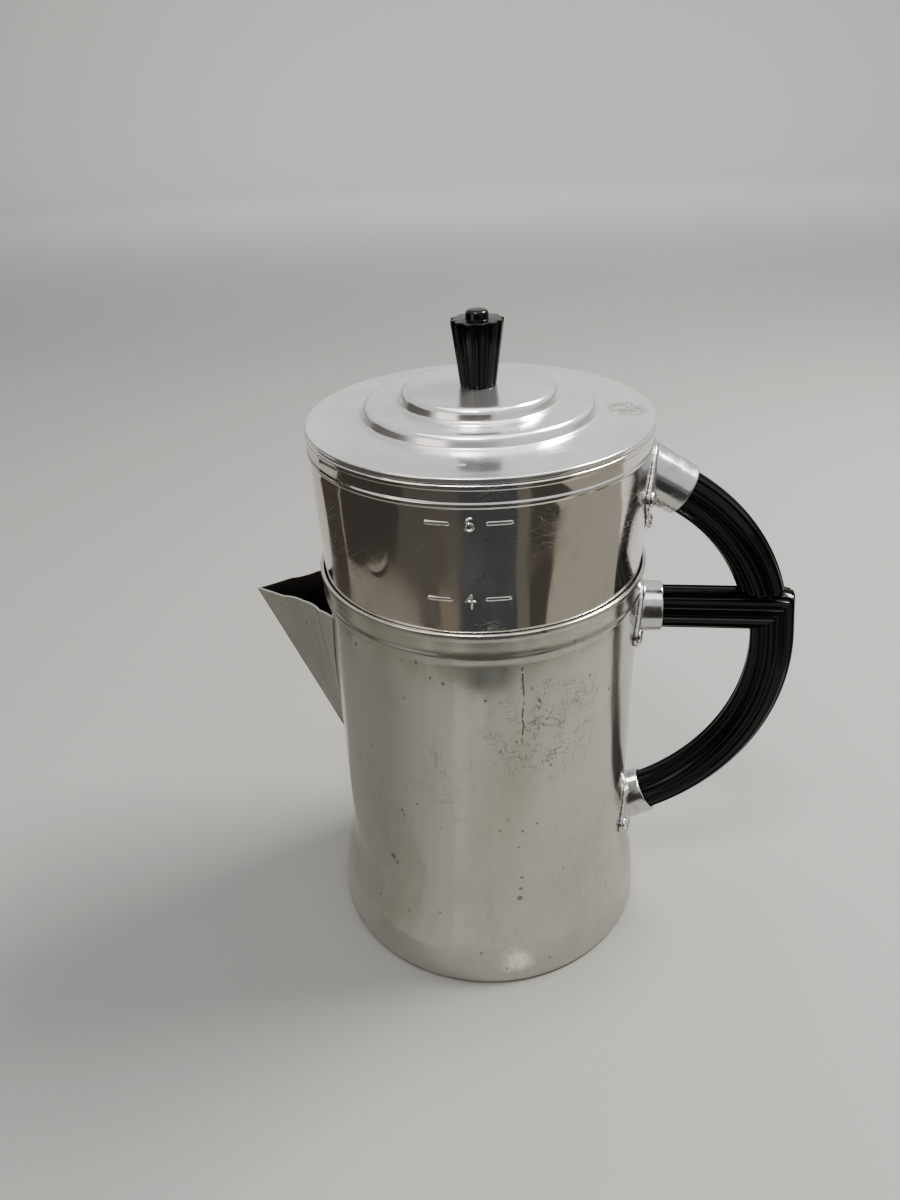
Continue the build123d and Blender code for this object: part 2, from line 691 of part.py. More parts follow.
BORE_PAST = 2.0  # degrees that a curved bore runs on past the socket's mouth
UPPER_BORE = grip_arc(
    grip_section(arc_plane(*UPPER_ARC, UPPER_START, -1), SOCKET_BORE, False),
    *UPPER_ARC,
    UPPER_START,
    UPPER_MOUTH - BORE_PAST,
)
LOWER_BORE = grip_arc(
    grip_section(arc_plane(*LOWER_ARC, LOWER_START, 1), SOCKET_BORE, False),
    *LOWER_ARC,
    LOWER_START,
    LOWER_MOUTH + BORE_PAST,
)
with BuildPart() as middle_bore:
    add(grip_section(BAR_END, SOCKET_BORE, False))
    extrude(amount=TENON + 3, dir=(1, 0, 0))

pot_trim = (pot_form.part, pot_shell.part)
container_trim = (container_form.part, container_shell.part)
middle_bracket = make_bracket(
    MIDDLE_BRACKET, MIDDLE_SOCKET, 12.0, *pot_trim, MIDDLE_RIVETS, middle_bore.part, MIDDLE_SCREW
)
lower_bracket = make_bracket(
    LOWER_BRACKET, LOWER_SOCKET, 18.0, *pot_trim, LOWER_RIVETS, LOWER_BORE, LOWER_SCREW
)
upper_bracket = make_bracket(
    UPPER_BRACKET, UPPER_SOCKET, 22.0, *container_trim, UPPER_RIVETS, UPPER_BORE, UPPER_SCREW
)
write(middle_bracket, "middle_bracket")
write(lower_bracket, "lower_bracket")
write(upper_bracket, "upper_bracket")
write(make_rivets(MIDDLE_RIVETS), "middle_bracket_rivets")
write(make_rivets(LOWER_RIVETS), "lower_bracket_rivets")
write(make_rivets(UPPER_RIVETS), "upper_bracket_rivets")
write(make_set_screws([MIDDLE_SCREW, LOWER_SCREW]), "lower_handle_screws")
write(make_set_screws([UPPER_SCREW]), "upper_handle_screw")
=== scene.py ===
import math

import bmesh
import bpy
import numpy as np
from mathutils import Matrix, Vector


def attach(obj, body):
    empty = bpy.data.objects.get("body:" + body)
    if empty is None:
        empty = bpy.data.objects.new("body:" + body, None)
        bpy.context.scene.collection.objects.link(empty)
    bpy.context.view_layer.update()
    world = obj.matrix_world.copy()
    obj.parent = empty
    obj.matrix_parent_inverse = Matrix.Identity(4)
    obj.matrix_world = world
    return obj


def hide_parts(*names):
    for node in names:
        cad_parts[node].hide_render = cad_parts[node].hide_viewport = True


# Two-stage stovetop drip coffee pot. Shapes are worked out in millimetres in the
# frame of the CAD model and turned into metres when a mesh is made.

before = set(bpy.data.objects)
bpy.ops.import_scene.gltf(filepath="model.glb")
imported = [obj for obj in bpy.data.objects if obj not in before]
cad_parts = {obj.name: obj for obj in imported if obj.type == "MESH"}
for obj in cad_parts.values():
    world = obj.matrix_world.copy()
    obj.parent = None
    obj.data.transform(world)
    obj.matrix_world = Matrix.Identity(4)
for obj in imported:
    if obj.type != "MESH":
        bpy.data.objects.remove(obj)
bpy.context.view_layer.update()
MM = 0.001
SCENE = bpy.context.scene

# ---------------- dimensions, as in the CAD source
SHEET = 0.9
BASE_RADIUS = 65.2
BASE_THICKNESS = 1.2
FLARE_TOP = 41.0
POT_RADIUS_LOW = 58.9
POT_RADIUS_HIGH = 59.1
# outer line of the foot, as (radius, height)
FLARE = ((BASE_RADIUS, 1.4), (64.2, 16.0), (61.8, 26.0), (59.7, 33.5), (POT_RADIUS_LOW, FLARE_TOP))
BEAD_BOTTOM = 153.3
BEAD_TOP = 156.6
SHOULDER = 155.0
POT_RIM = 164.7
CONTAINER_LOW = 58.7
CONTAINER_HIGH = 59.95
CONTAINER_RIM = 216.4
STAMPED = (208.6, 210.8)  # bottom and top of the container's stamped bead
NECK_RADIUS = 52.0
NECK_BOTTOM = 116.0
LID_PLATEAU = 228.0
# corners of the lid's steps, as (radius, height, rounding)
LID_STEPS = ((26.3, 228.0, 2.6), (27.6, 223.6, 1.2), (39.4, 223.6, 2.4), (40.7, 219.7, 1.2))
LID_EDGE = 218.5
LID_RADIUS = 60.2
SKIRT_RADIUS = 58.7
SKIRT_BOTTOM = 209.6
KNOB_TOP = 250.0
SPOUT_TIP = 89.8
SPOUT_BOTTOM = 72.5
GRIP_RADIUS = 8.1
BAR_HEIGHT = 141.75
BAR_START = 68.0
LOWER_ARC = (28.7, 122.0, 82.2)  # centre x, centre z and radius of the grips' middle lines
UPPER_ARC = (35.5, 127.3, 72.1)
TENON = 7.0
FLANGE = 1.5
SIDE_RIVET_Y = 12.5


# ---------------- numbers
def smooth(x, low, high):
    """0 below low, 1 above high and a smooth step between."""
    t = np.clip((np.asarray(x, float) - low) / (high - low), 0, 1)
    return t * t * (3 - 2 * t)


def hermite(points, start, end, count):
    """Smooth curve through points, count steps between two, with given directions at its ends."""
    p = np.array(points, float)
    slope = np.zeros_like(p)
    slope[1:-1] = (p[2:] - p[:-2]) / 2
    slope[0] = np.array(start) * np.linalg.norm(p[1] - p[0])
    slope[-1] = np.array(end) * np.linalg.norm(p[-1] - p[-2])
    out = []
    for i in range(len(p) - 1):
        for t in np.arange(count) / count:
            a = (2 * t**3 - 3 * t**2 + 1) * p[i] + (t**3 - 2 * t**2 + t) * slope[i]
            out.append(a + (3 * t**2 - 2 * t**3) * p[i + 1] + (t**3 - t**2) * slope[i + 1])
    out.append(p[-1])
    return np.array(out)


FLARE_CURVE = hermite(FLARE, (0, 1), (0, 1), 8)


def pot_radius(z):
    """Outside radius of the serving pot below its shoulder."""
    if z < FLARE_TOP:
        return float(np.interp(z, FLARE_CURVE[:, 1], FLARE_CURVE[:, 0]))
    share = (z - FLARE_TOP) / (BEAD_BOTTOM - FLARE_TOP)
    return POT_RADIUS_LOW + (POT_RADIUS_HIGH - POT_RADIUS_LOW) * share


def container_radius(z):
    """Outside radius of the water container's tapered wall."""
    return CONTAINER_LOW + (CONTAINER_HIGH - CONTAINER_LOW) * (z - SHOULDER) / (STAMPED[0] - SHOULDER)


def run(a, b, step_at):
    """Points after a up to b, as far apart as step_at says, with no short step left at the end."""
    length = float(np.linalg.norm(b - a))
    if length < 1e-9:
        return []
    out, way = [], 0.0
    while True:
        step = step_at(a + (b - a) * way / length)
        way += step
        if way > length - 0.4 * step:
            break
        out.append(a + (b - a) * way / length)
    return out + [b]


NEARLY_STRAIGHT = 1.565  # half of the angle between two runs, in radians
ARC_STEP = math.radians(15)


def rounded(corners, step_at, closed=False):
    """Points along a line of (radius, height, rounding) corners."""
    p = [np.array(c[:2], float) for c in corners]
    n = len(p)
    arcs = []
    for i, corner in enumerate(corners):
        if corner[2] == 0 or (not closed and i in (0, n - 1)):
            arcs.append([p[i]])
            continue
        a, b = p[i - 1] - p[i], p[(i + 1) % n] - p[i]
        la, lb = np.linalg.norm(a), np.linalg.norm(b)
        a, b = a / la, b / lb
        half = math.acos(float(np.clip(a @ b, -1, 1))) / 2
        if half > NEARLY_STRAIGHT:
            arcs.append([p[i]])
            continue
        cut = min(corner[2] / math.tan(half), 0.48 * la, 0.48 * lb)
        radius = cut * math.tan(half)
        centre = p[i] + (a + b) / np.linalg.norm(a + b) * radius / math.sin(half)
        first, last = p[i] + a * cut - centre, p[i] + b * cut - centre
        turn = math.pi - 2 * half
        steps = max(2, math.ceil(turn / ARC_STEP))
        shares = np.arange(steps + 1) / steps
        spokes = [math.sin(turn * (1 - t)) * first + math.sin(turn * t) * last for t in shares]
        arcs.append([centre + spoke / math.sin(turn) for spoke in spokes])
    out = list(arcs[0])
    for arc in arcs[1:]:
        out += run(out[-1], arc[0], step_at) + arc[1:]
    if closed:
        out += run(out[-1], out[0], step_at)[:-1]
    return np.array(out)


def columns(count, fine=()):
    """Angles round the axis: count even ones, closer within each (from, to, step) in degrees."""
    even = 360.0 / count
    angles, at = [], -180.0
    while at < 180.0 - 1e-6:
        angles.append(at)
        step = even
        for low, high, small in fine:
            if low <= at < high:
                step = small
            elif at < low < at + step:
                step = low - at
        at += step
    if 180.0 - angles[-1] < 0.3 * even:
        angles.pop()
    return np.radians(angles)


def polar(radius, turn, z):
    return radius * math.cos(turn), radius * math.sin(turn), z


def ripple(turn, z, waves):
    """Slight unevenness of worn sheet: a sum of (size, turns round, waves per mm, phase)."""
    return sum(size * np.cos(k * turn + m * z + phase) for size, k, m, phase in waves)


def dents(turn, along, radius, marks):
    """Depth of dents, given as (azimuth, place along, half width round, half width along, depth)."""
    depth = np.zeros_like(turn)
    for azimuth, place, wide, tall, deep in marks:
        across = np.angle(np.exp(1j * (turn - math.radians(azimuth)))) * radius
        depth += deep * np.exp(-((across / wide) ** 2) - ((along - place) / tall) ** 2)
    return depth


# ---------------- meshes
def fans(index, n):
    """Faces that close the first and the last row of a grid of points, round points n and n + 1."""
    beside = np.roll(index, -1, axis=1)
    first = [[n, b, a] for a, b in zip(index[0].tolist(), beside[0].tolist())]
    return first + [[n + 1, a, b] for a, b in zip(index[-1].tolist(), beside[-1].tolist())]


def lathe(profile, turns, bend=None):
    """Points and faces of a closed section turned about the axis. bend moves the points."""
    solid = profile[0][0] < 1e-6 and profile[-1][0] < 1e-6
    rows = profile[1:-1] if solid else profile
    turn, radius = np.meshgrid(turns, rows[:, 0])
    height = np.repeat(rows[:, 1:2], len(turns), axis=1)
    if bend is not None:
        radius, height = bend(radius, height, turn)
    points = np.stack([radius * np.cos(turn), radius * np.sin(turn), height], -1).reshape(-1, 3)
    index = np.arange(len(points)).reshape(radius.shape)
    beside = np.roll(index, -1, axis=1)
    if solid:
        low, low_b, high, high_b = index[:-1], beside[:-1], index[1:], beside[1:]
    else:
        low, low_b = index, beside
        high, high_b = np.roll(index, -1, axis=0), np.roll(beside, -1, axis=0)
    faces = np.stack([low, low_b, high_b, high], -1).reshape(-1, 4).tolist()
    if solid:
        faces += fans(index, len(points))
        points = np.vstack([points, [0, 0, profile[0][1]], [0, 0, profile[-1][1]]])
    return points, faces


def tube(rings):
    """Points and faces of a skin over rings of points, closed at both ends."""
    rings = np.array(rings)
    count, size = rings.shape[:2]
    index = np.arange(count * size).reshape(count, size)
    beside = np.roll(index, -1, axis=1)
    faces = np.stack([index[:-1], beside[:-1], beside[1:], index[1:]], -1).reshape(-1, 4).tolist()
    points = rings.reshape(-1, 3)
    return np.vstack([points, rings[0].mean(0), rings[-1].mean(0)]), faces + fans(index, len(points))


def joined(parts):
    """One list of points and one of faces from several."""
    points, faces, n = [], [], 0
    for some_points, some_faces in parts:
        points.append(np.asarray(some_points))
        faces += [[i + n for i in face] for face in some_faces]
        n += len(some_points)
    return np.vstack(points), faces


def make_mesh(points, faces):
    """A mesh from points in millimetres."""
    mesh = bpy.data.meshes.new("mesh")
    mesh.from_pydata((np.asarray(points) * MM).tolist(), [], faces)
    mesh.update()
    return mesh


def outward(mesh):
    """The closed mesh with every face turned outwards."""
    work = bmesh.new()
    work.from_mesh(mesh)
    bmesh.ops.recalc_face_normals(work, faces=work.faces)
    work.to_mesh(mesh)
    work.free()
    return mesh


def linked(name, data):
    """A new object in the scene."""
    made = bpy.data.objects.new(name, data)
    SCENE.collection.objects.link(made)
    return made


def applied(mesh, kind, **settings):
    """The mesh after one modifier."""
    holder = linked("holder", mesh)
    modifier = holder.modifiers.new(kind.lower(), kind)
    for key, value in settings.items():
        setattr(modifier, key, value)
    graph = bpy.context.evaluated_depsgraph_get()
    result = bpy.data.meshes.new_from_object(holder.evaluated_get(graph))
    bpy.data.objects.remove(holder)
    return result


def add_piece(name, mesh, body, material, replaced=(), crease=35, inside=None):
    """Shades a finished mesh and rides it on its body.

    crease is the angle, in degrees, from which an edge is sharp. inside is the material of a
    sheet's inner faces.
    """
    count = len(mesh.polygons)
    mesh.polygons.foreach_set("use_smooth", np.ones(count, bool))
    mesh.set_sharp_from_angle(angle=math.radians(crease))
    parts = [polygon.material_index for polygon in mesh.polygons] if inside else [0] * count
    mesh.name = name
    mesh.materials.clear()
    mesh.materials.append(material)
    if inside:
        mesh.materials.append(inside)
    mesh.polygons.foreach_set("material_index", parts)
    piece = linked(name, mesh)
    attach(piece, body)
    if replaced:
        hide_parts(*replaced)


# ---------------- materials
class Finish:
    """A material whose colour, roughness and relief are made from nodes.

    The scale of a noise or of cells is in waves per metre, as one number or one per axis.
    """

    def __init__(self, name, colour, roughness, metallic=1.0):
        self.material = bpy.data.materials.new(name)
        self.material.use_nodes = True
        self.tree = self.material.node_tree
        self.shader = self.tree.nodes["Principled BSDF"]
        self.shader.inputs["Metallic"].default_value = metallic
        rgb = self.node("RGB")
        rgb.outputs[0].default_value = (*colour, 1)
        self.colour = rgb.outputs[0]
        number = self.node("Value")
        number.outputs[0].default_value = roughness
        self.roughness = number.outputs[0]
        self.relief = None
        self.place = self.node("TexCoord").outputs["Object"]

    def set(self, node, inputs):
        """Links or sets a node's inputs, given by name or number."""
        for key, value in inputs.items():
            if isinstance(value, bpy.types.NodeSocket):
                self.tree.links.new(value, node.inputs[key])
            else:
                node.inputs[key].default_value = value

    def node(self, kind, inputs=None, **settings):
        made = self.tree.nodes.new("ShaderNode" + kind)
        for key, value in settings.items():
            setattr(made, key, value)
        self.set(made, inputs or {})
        return made

    def math(self, operation, a, b=0.0, clamp=False):
        inputs = {0: a, 1: b}
        return self.node("Math", inputs, operation=operation, use_clamp=clamp).outputs[0]

    def times(self, a, b):
        return self.math("MULTIPLY", a, b)

    def most(self, a, b):
        return self.math("MAXIMUM", a, b)

    def scaled(self, scale, vector=None):
        """Object coordinates in metres, or another vector, stretched per axis."""
        scale = scale if isinstance(scale, tuple) else (scale,) * 3
        inputs = {"Vector": vector or self.place, "Scale": scale}
        return self.node("Mapping", inputs).outputs[0]

    def noise(self, scale, detail=3.0, rough=0.55, distort=0.0, vector=None):
        inputs = {"Vector": self.scaled(scale, vector), "Scale": 1.0, "Detail": detail}
        inputs |= {"Roughness": rough, "Distortion": distort}
        return self.node("TexNoise", inputs).outputs["Fac"]

    def ramp(self, fac, low, high, to_low=0.0, to_high=1.0):
        inputs = dict(enumerate((fac, low, high, to_low, to_high)))
        return self.node("MapRange", inputs, interpolation_type="SMOOTHSTEP").outputs[0]

    def patches(self, scale, low, high, *noise):
        """0 where a noise is under low, 1 where it is over high."""
        return self.ramp(self.noise(scale, *noise), low, high)

    def pits(self, scale, size, crowd, low, high):
        """Small spots round scattered points, only where a second, coarser noise allows."""
        cells = self.node("TexVoronoi", {"Vector": self.scaled(scale), "Scale": 1.0})
        spots = self.ramp(cells.outputs["Distance"], 0.0, size, 1.0, 0.0)
        return self.times(spots, self.patches(crowd, low, high, 2))

    def scratches(self, scale, turn, width):
        """Thin crooked lines: where a stretched noise crosses its middle value."""
        turned = self.node("Mapping", {"Vector": self.place, "Rotation": turn})
        field = self.noise(scale, 1.0, 0.4, 0.3, turned.outputs[0])
        line = self.math("ABSOLUTE", self.math("SUBTRACT", field, 0.5))
        return self.ramp(line, 0.0, width, 1.0, 0.0)

    def near(self, point, reach, fade):
        """1 round a point, given in millimetres, falling to 0."""
        inputs = {0: self.place, 1: Vector(point) * MM}
        away = self.node("VectorMath", inputs, operation="DISTANCE").outputs["Value"]
        return self.ramp(away, reach * MM, (reach + fade) * MM, 1.0, 0.0)

    def round_axis(self):
        """Distance from the axis, turn about it and height, in metres and radians."""
        x, y, z = self.node("SeparateXYZ", {0: self.place}).outputs
        square = self.math("ADD", self.times(x, x), self.times(y, y))
        return self.math("SQRT", square), self.math("ARCTAN2", y, x), z

    def tint(self, mask, colour, strength=None):
        """Mixes another colour in where mask is 1."""
        mask = self.times(mask, strength) if strength else mask
        inputs = {"Factor": mask, "A": self.colour, "B": (*colour, 1)}
        self.colour = self.node("Mix", inputs, data_type="RGBA").outputs["Result"]

    def rougher(self, mask, amount):
        self.roughness = self.math("ADD", self.roughness, self.times(mask, amount), clamp=True)

    def bump(self, height, distance):
        """Relief: distance in millimetres for a height of 1."""
        inputs = {"Strength": 1.0, "Distance": distance * MM, "Height": height}
        if self.relief:
            inputs["Normal"] = self.relief
        self.relief = self.node("Bump", inputs).outputs["Normal"]

    def done(self):
        inputs = {"Base Color": self.colour, "Roughness": self.roughness, "Normal": self.relief}
        self.set(self.shader, inputs)
        return self.material


def polished_aluminium():
    """The container's bright wall: smudges, brownish patches, fine scratches and pits."""
    m = Finish("polished_aluminium", (0.78, 0.765, 0.735), 0.075, 0.96)
    m.rougher(m.patches((38, 38, 22), 0.42, 0.72, 4, 0.6, 0.6), 0.16)
    m.rougher(m.patches((900, 900, 60), 0.55, 0.75, 2), 0.05)
    m.tint(m.patches((26, 26, 14), 0.52, 0.66, 5, 0.65, 1.0), (0.62, 0.56, 0.47), 0.35)
    where = m.patches(45, 0.52, 0.62, 2)
    flat = m.times(m.scratches((60, 60, 420), (0.5, 0.3, 0.2), 0.012), where)
    slanted = m.times(m.scratches((380, 50, 70), (0.2, 0.9, 0.4), 0.010), where)
    lines = m.most(flat, slanted)
    m.rougher(lines, 0.25)
    pits = m.pits(260, 0.16, 60, 0.56, 0.62)
    m.tint(pits, (0.30, 0.28, 0.25))
    m.bump(m.noise((55, 55, 30), 2, 0.4), 0.05)
    m.bump(m.noise((7, 7, 900), 2, 0.5), 0.0012)
    m.bump(lines, -0.004)
    m.bump(pits, -0.03)
    return m.done()


def satin_base(name, colour, roughness):
    """Dull sheet with handling marks, shared by the pot, the lid and the inner parts."""
    m = Finish(name, colour, roughness, 0.84)
    m.rougher(m.patches((30, 30, 16), 0.35, 0.7, 4, 0.6, 0.5), 0.09)
    darker = (colour[0] * 0.80, colour[1] * 0.79, colour[2] * 0.76)
    m.tint(m.patches((22, 22, 9), 0.42, 0.68, 5, 0.6, 0.8), darker, 0.5)
    return m


def crooked_scratch(m):
    """Dark broken scratch that runs down the pot right of its middle."""
    _, turn, height = m.round_axis()
    wander = m.times(m.math("SUBTRACT", m.noise((60, 60, 160), 2), 0.5), 0.035)
    across = m.math("ADD", m.math("SUBTRACT", turn, math.radians(-72.8)), wander)
    line = m.ramp(m.math("ABSOLUTE", across), 0.002, 0.007, 1.0, 0.0)
    span = m.times(m.ramp(height, 0.116, 0.121), m.ramp(height, 0.149, 0.153, 1.0, 0.0))
    return m.times(m.times(line, span), m.patches(300, 0.36, 0.5, 2))


def crowded_scratches(m):
    """Short crossing scratches in a patch to the right of the crooked one."""
    steep = m.scratches((150, 150, 900), (0.15, 0.1, 0.3), 0.022)
    crossing = m.most(steep, m.scratches((500, 300, 130), (0.3, 0.1, 0.2), 0.02))
    patch = m.near((25, -53, 122), 13, 20)
    return m.times(m.times(crossing, patch), m.patches(120, 0.40, 0.55, 2))


# centre and radius, in millimetres, of the dark spots low on the pot
POT_SPOTS = (
    ((16.6, -56.6, 41.4), 0.9), ((16.9, -56.6, 46.5), 0.5), ((17.2, -56.4, 52.5), 0.4),
    ((-34.2, -48.2, 51.8), 1.0), ((-32.5, -49.5, 49.5), 0.6),
)


def pot_aluminium():
    m = satin_base("pot_aluminium", (0.605, 0.60, 0.555), 0.125)
    m.rougher(m.patches((240, 240, 12), 0.35, 0.75, 3, 0.6), 0.06)
    where = m.patches(40, 0.46, 0.60, 3)
    flat = m.scratches((60, 60, 420), (0.4, 0.2, 0.1), 0.012)
    slanted = m.scratches((400, 70, 90), (0.1, 0.7, 0.5), 0.011)
    upright = m.scratches((260, 260, 34), (0.05, 0.1, 0.0), 0.014)
    lines = m.times(m.most(m.most(flat, slanted), upright), where)
    m.tint(lines, (0.42, 0.41, 0.38), 0.45)
    m.tint(m.patches((16, 16, 9), 0.48, 0.70, 5, 0.65, 0.6), (0.44, 0.42, 0.365), 0.35)
    crooked = crooked_scratch(m)
    m.tint(crooked, (0.10, 0.095, 0.085), 0.8)
    m.tint(crowded_scratches(m), (0.16, 0.15, 0.14), 0.7)
    pits = m.pits((190, 190, 150), 0.16, 50, 0.47, 0.55)
    m.tint(pits, (0.14, 0.13, 0.12), 0.85)
    for point, reach in POT_SPOTS:
        m.tint(m.near(point, reach, 0.5), (0.12, 0.115, 0.10), 0.6)
    m.bump(m.noise((60, 60, 26), 3, 0.5), 0.07)
    m.bump(m.noise((8, 8, 1100), 2, 0.5), 0.0035)
    m.bump(lines, -0.004)
    m.bump(m.most(crooked, pits), -0.04)
    return m.done()


def lid_aluminium():
    """Satin sheet with turning rings, scratches, pits and an etched patch on the rim."""
    m = satin_base("lid_aluminium", (0.78, 0.78, 0.755), 0.125)
    radial = m.node("CombineXYZ", dict(enumerate(m.round_axis())))
    rings = m.noise((1300, 1.2, 200), 3, 0.6, 0.0, radial.outputs[0])
    m.rougher(m.ramp(rings, 0.4, 0.8), 0.06)
    where = m.patches(45, 0.48, 0.62, 3)
    m.tint(m.times(m.scratches((300, 90, 90), (0.1, 0.1, 0.6), 0.014), where), (0.5, 0.49, 0.46), 0.3)
    etched = m.times(m.near((50.5, 0.5, 219), 4.5, 4.5), m.patches(420, 0.42, 0.56, 4, 0.7))
    m.tint(etched, (0.30, 0.285, 0.225), 0.85)
    m.rougher(etched, 0.3)
    pits = m.pits(150, 0.09, 50, 0.52, 0.58)
    m.tint(pits, (0.22, 0.21, 0.19), 0.8)
    m.bump(m.noise(40, 2, 0.5), 0.05)
    m.bump(rings, 0.004)
    m.bump(m.most(etched, pits), -0.03)
    return m.done()


def inner_aluminium():
    m = satin_base("inner_aluminium", (0.66, 0.655, 0.63), 0.30)
    m.bump(m.noise(300, 2), 0.004)
    return m.done()


def cast_aluminium():
    m = Finish("cast_aluminium", (0.68, 0.68, 0.665), 0.16)
    m.rougher(m.patches(140, 0.35, 0.7, 4, 0.6), 0.16)
    m.tint(m.patches(90, 0.5, 0.7, 4, 0.6), (0.50, 0.49, 0.46), 0.5)
    m.bump(m.noise(260, 3, 0.5), 0.03)
    m.bump(m.noise(900, 2, 0.5), 0.006)
    return m.done()


def grained(name, colour, roughness, wear, grain, depth):
    """Plain metal for small parts, worn in patches and finely rough."""
    m = Finish(name, colour, roughness)
    m.rougher(m.patches(wear, 0.4, 0.7, 3), 0.15)
    m.bump(m.noise(grain, 2), depth)
    return m.done()


def black_phenolic():
    m = Finish("black_phenolic", (0.009, 0.009, 0.010), 0.11, 0.0)
    m.rougher(m.patches(110, 0.4, 0.75, 4, 0.6), 0.14)
    dust = m.patches(700, 0.66, 0.74, 3, 0.7)
    m.tint(dust, (0.09, 0.088, 0.085), 0.35)
    m.bump(m.noise(160, 2), 0.012)
    m.bump(m.noise(1100, 2), 0.002)
    m.shader.inputs["Specular IOR Level"].default_value = 0.55
    return m.done()


def stained(name, colour, roughness):
    """Stained aluminium, for the inside of the spout and its seam."""
    m = Finish(name, colour, roughness)
    m.tint(m.patches((150, 150, 90), 0.4, 0.7, 4, 0.6), tuple(0.7 * c for c in colour))
    m.bump(m.noise((300, 300, 120), 2), 0.01)
    return m.done()


TARNISH = stained("tarnish", (0.22, 0.205, 0.18), 0.42)
SEAM = stained("seam", (0.40, 0.36, 0.31), 0.22)
POLISHED = polished_aluminium()
POT_SATIN = pot_aluminium()
LID_SATIN = lid_aluminium()
INNER = inner_aluminium()
CAST = cast_aluminium()
RIVET = grained("rivet_aluminium", (0.82, 0.82, 0.81), 0.12, 400, 600, 0.02)
STEEL = grained("steel", (0.56, 0.56, 0.57), 0.28, 500, 900, 0.008)
PHENOLIC = black_phenolic()

# ---------------- camera, floor and light
CAMERA_PLACE = Vector((24.9, -302.6, 320.5)) * MM
CAMERA_FORWARD = Vector((-0.1071, 0.8567, -0.5046)).normalized()
CAMERA_UP = Vector((-0.0200, 0.5055, 0.8626))
LENS = 27.12
SENSOR = 36.0
FLOOR_COLOUR = (0.40, 0.397, 0.375)
FLOOR_RADIUS = 3.0  # metres, as everything of the studio but its floor cards
FLOOR_BEND = 0.7
FLOOR_SIDES = 96
WORLD_COLOUR = (0.80, 0.80, 0.83)
WORLD_STRENGTH = 0.70
LIFT = 0.0006  # of a card over the floor


def add_camera():
    data = bpy.data.cameras.new("camera")
    data.lens = LENS
    data.sensor_width = SENSOR
    data.clip_start = 0.01
    camera = linked("camera", data)
    right = CAMERA_FORWARD.cross(CAMERA_UP).normalized()
    up = right.cross(CAMERA_FORWARD)
    turn = Matrix((right, up, -CAMERA_FORWARD)).transposed()
    camera.matrix_world = Matrix.Translation(CAMERA_PLACE) @ turn.to_4x4()
    SCENE.camera = camera


def matt_material(name, colour):
    material = bpy.data.materials.new(name)
    material.use_nodes = True
    shader = material.node_tree.nodes["Principled BSDF"]
    shader.inputs["Base Color"].default_value = (*colour, 1)
    shader.inputs["Roughness"].default_value = 0.6
    shader.inputs["Specular IOR Level"].default_value = 0.0
    return material


def glow_material(name, colour):
    material = bpy.data.materials.new(name)
    material.use_nodes = True
    tree = material.node_tree
    tree.nodes.clear()
    glow = tree.nodes.new("ShaderNodeEmission")
    glow.inputs["Color"].default_value = (*colour, 1)
    output = tree.nodes.new("ShaderNodeOutputMaterial")
    tree.links.new(glow.outputs[0], output.inputs["Surface"])
    return material


def add_sheet(name, corners, material, faces=None):
    """Stage piece through corners in metres, flat unless faces are given."""
    mesh = bpy.data.meshes.new(name)
    mesh.from_pydata(corners, [], faces or [list(range(len(corners)))])
    mesh.materials.append(material)
    sheet = linked(name, mesh)
    return sheet


def add_card(name, corners, colour):
    """Studio card that is seen only in reflections."""
    card = add_sheet(name, corners, glow_material(name, colour))
    card.visible_camera = False
    card.visible_diffuse = False
    card.visible_shadow = False
    card.visible_transmission = False


def add_light(name, place, target, size, power, colour=(1, 1, 1)):
    data = bpy.data.lights.new(name, "AREA")
    data.shape = "RECTANGLE"
    data.size, data.size_y = size
    data.energy = power
    data.color = colour
    light = linked(name, data)
    light.location = place
    light.rotation_mode = "QUATERNION"
    light.rotation_quaternion = (Vector(target) - Vector(place)).to_track_quat("-Z", "Y")


def add_floor():
    """Pale round floor that turns up into a far wall."""
    profile = [(FLOOR_RADIUS, 0.0)]
    for q in np.radians(np.arange(5, 91, 5)):
        profile.append((FLOOR_RADIUS + FLOOR_BEND * math.sin(q), FLOOR_BEND * (1 - math.cos(q))))
    n = FLOOR_SIDES
    turns = np.arange(n) / n * 2 * math.pi
    points = [polar(r, t, z) for r, z in profile for t in turns]
    faces = []
    for low in range(0, (len(profile) - 1) * n, n):
        for i in range(n):
            j = (i + 1) % n
            faces.append((low + i, low + n + i, low + n + j, low + j))
    middle = tuple(range(n))
    floor = add_sheet("floor", points, matt_material("floor", FLOOR_COLOUR), faces + [middle])
    floor.data.polygons.foreach_set("use_smooth", [True] * len(floor.data.polygons))


def add_world():
    world = bpy.data.worlds.new("studio")
    SCENE.world = world
    world.use_nodes = True
    background = world.node_tree.nodes["Background"]
    background.inputs["Color"].default_value = (*WORLD_COLOUR, 1)
    background.inputs["Strength"].default_value = WORLD_STRENGTH


add_camera()
add_floor()
add_world()
SCENE.view_settings.look = "AgX - High Contrast"

add_light("key", (0.75, 0.35, 1.15), (0, 0, 0.1), (0.55, 0.40), 15.0, (1.0, 0.98, 0.95))
add_light("front", (-0.15, -0.55, 1.30), (0, 0, 0.1), (0.40, 0.16), 3.5, (1.0, 0.95, 0.92))
add_light("back", (0.0, 2.2, 1.5), (0, 3.6, 0.3), (3.0, 0.6), 30.0)

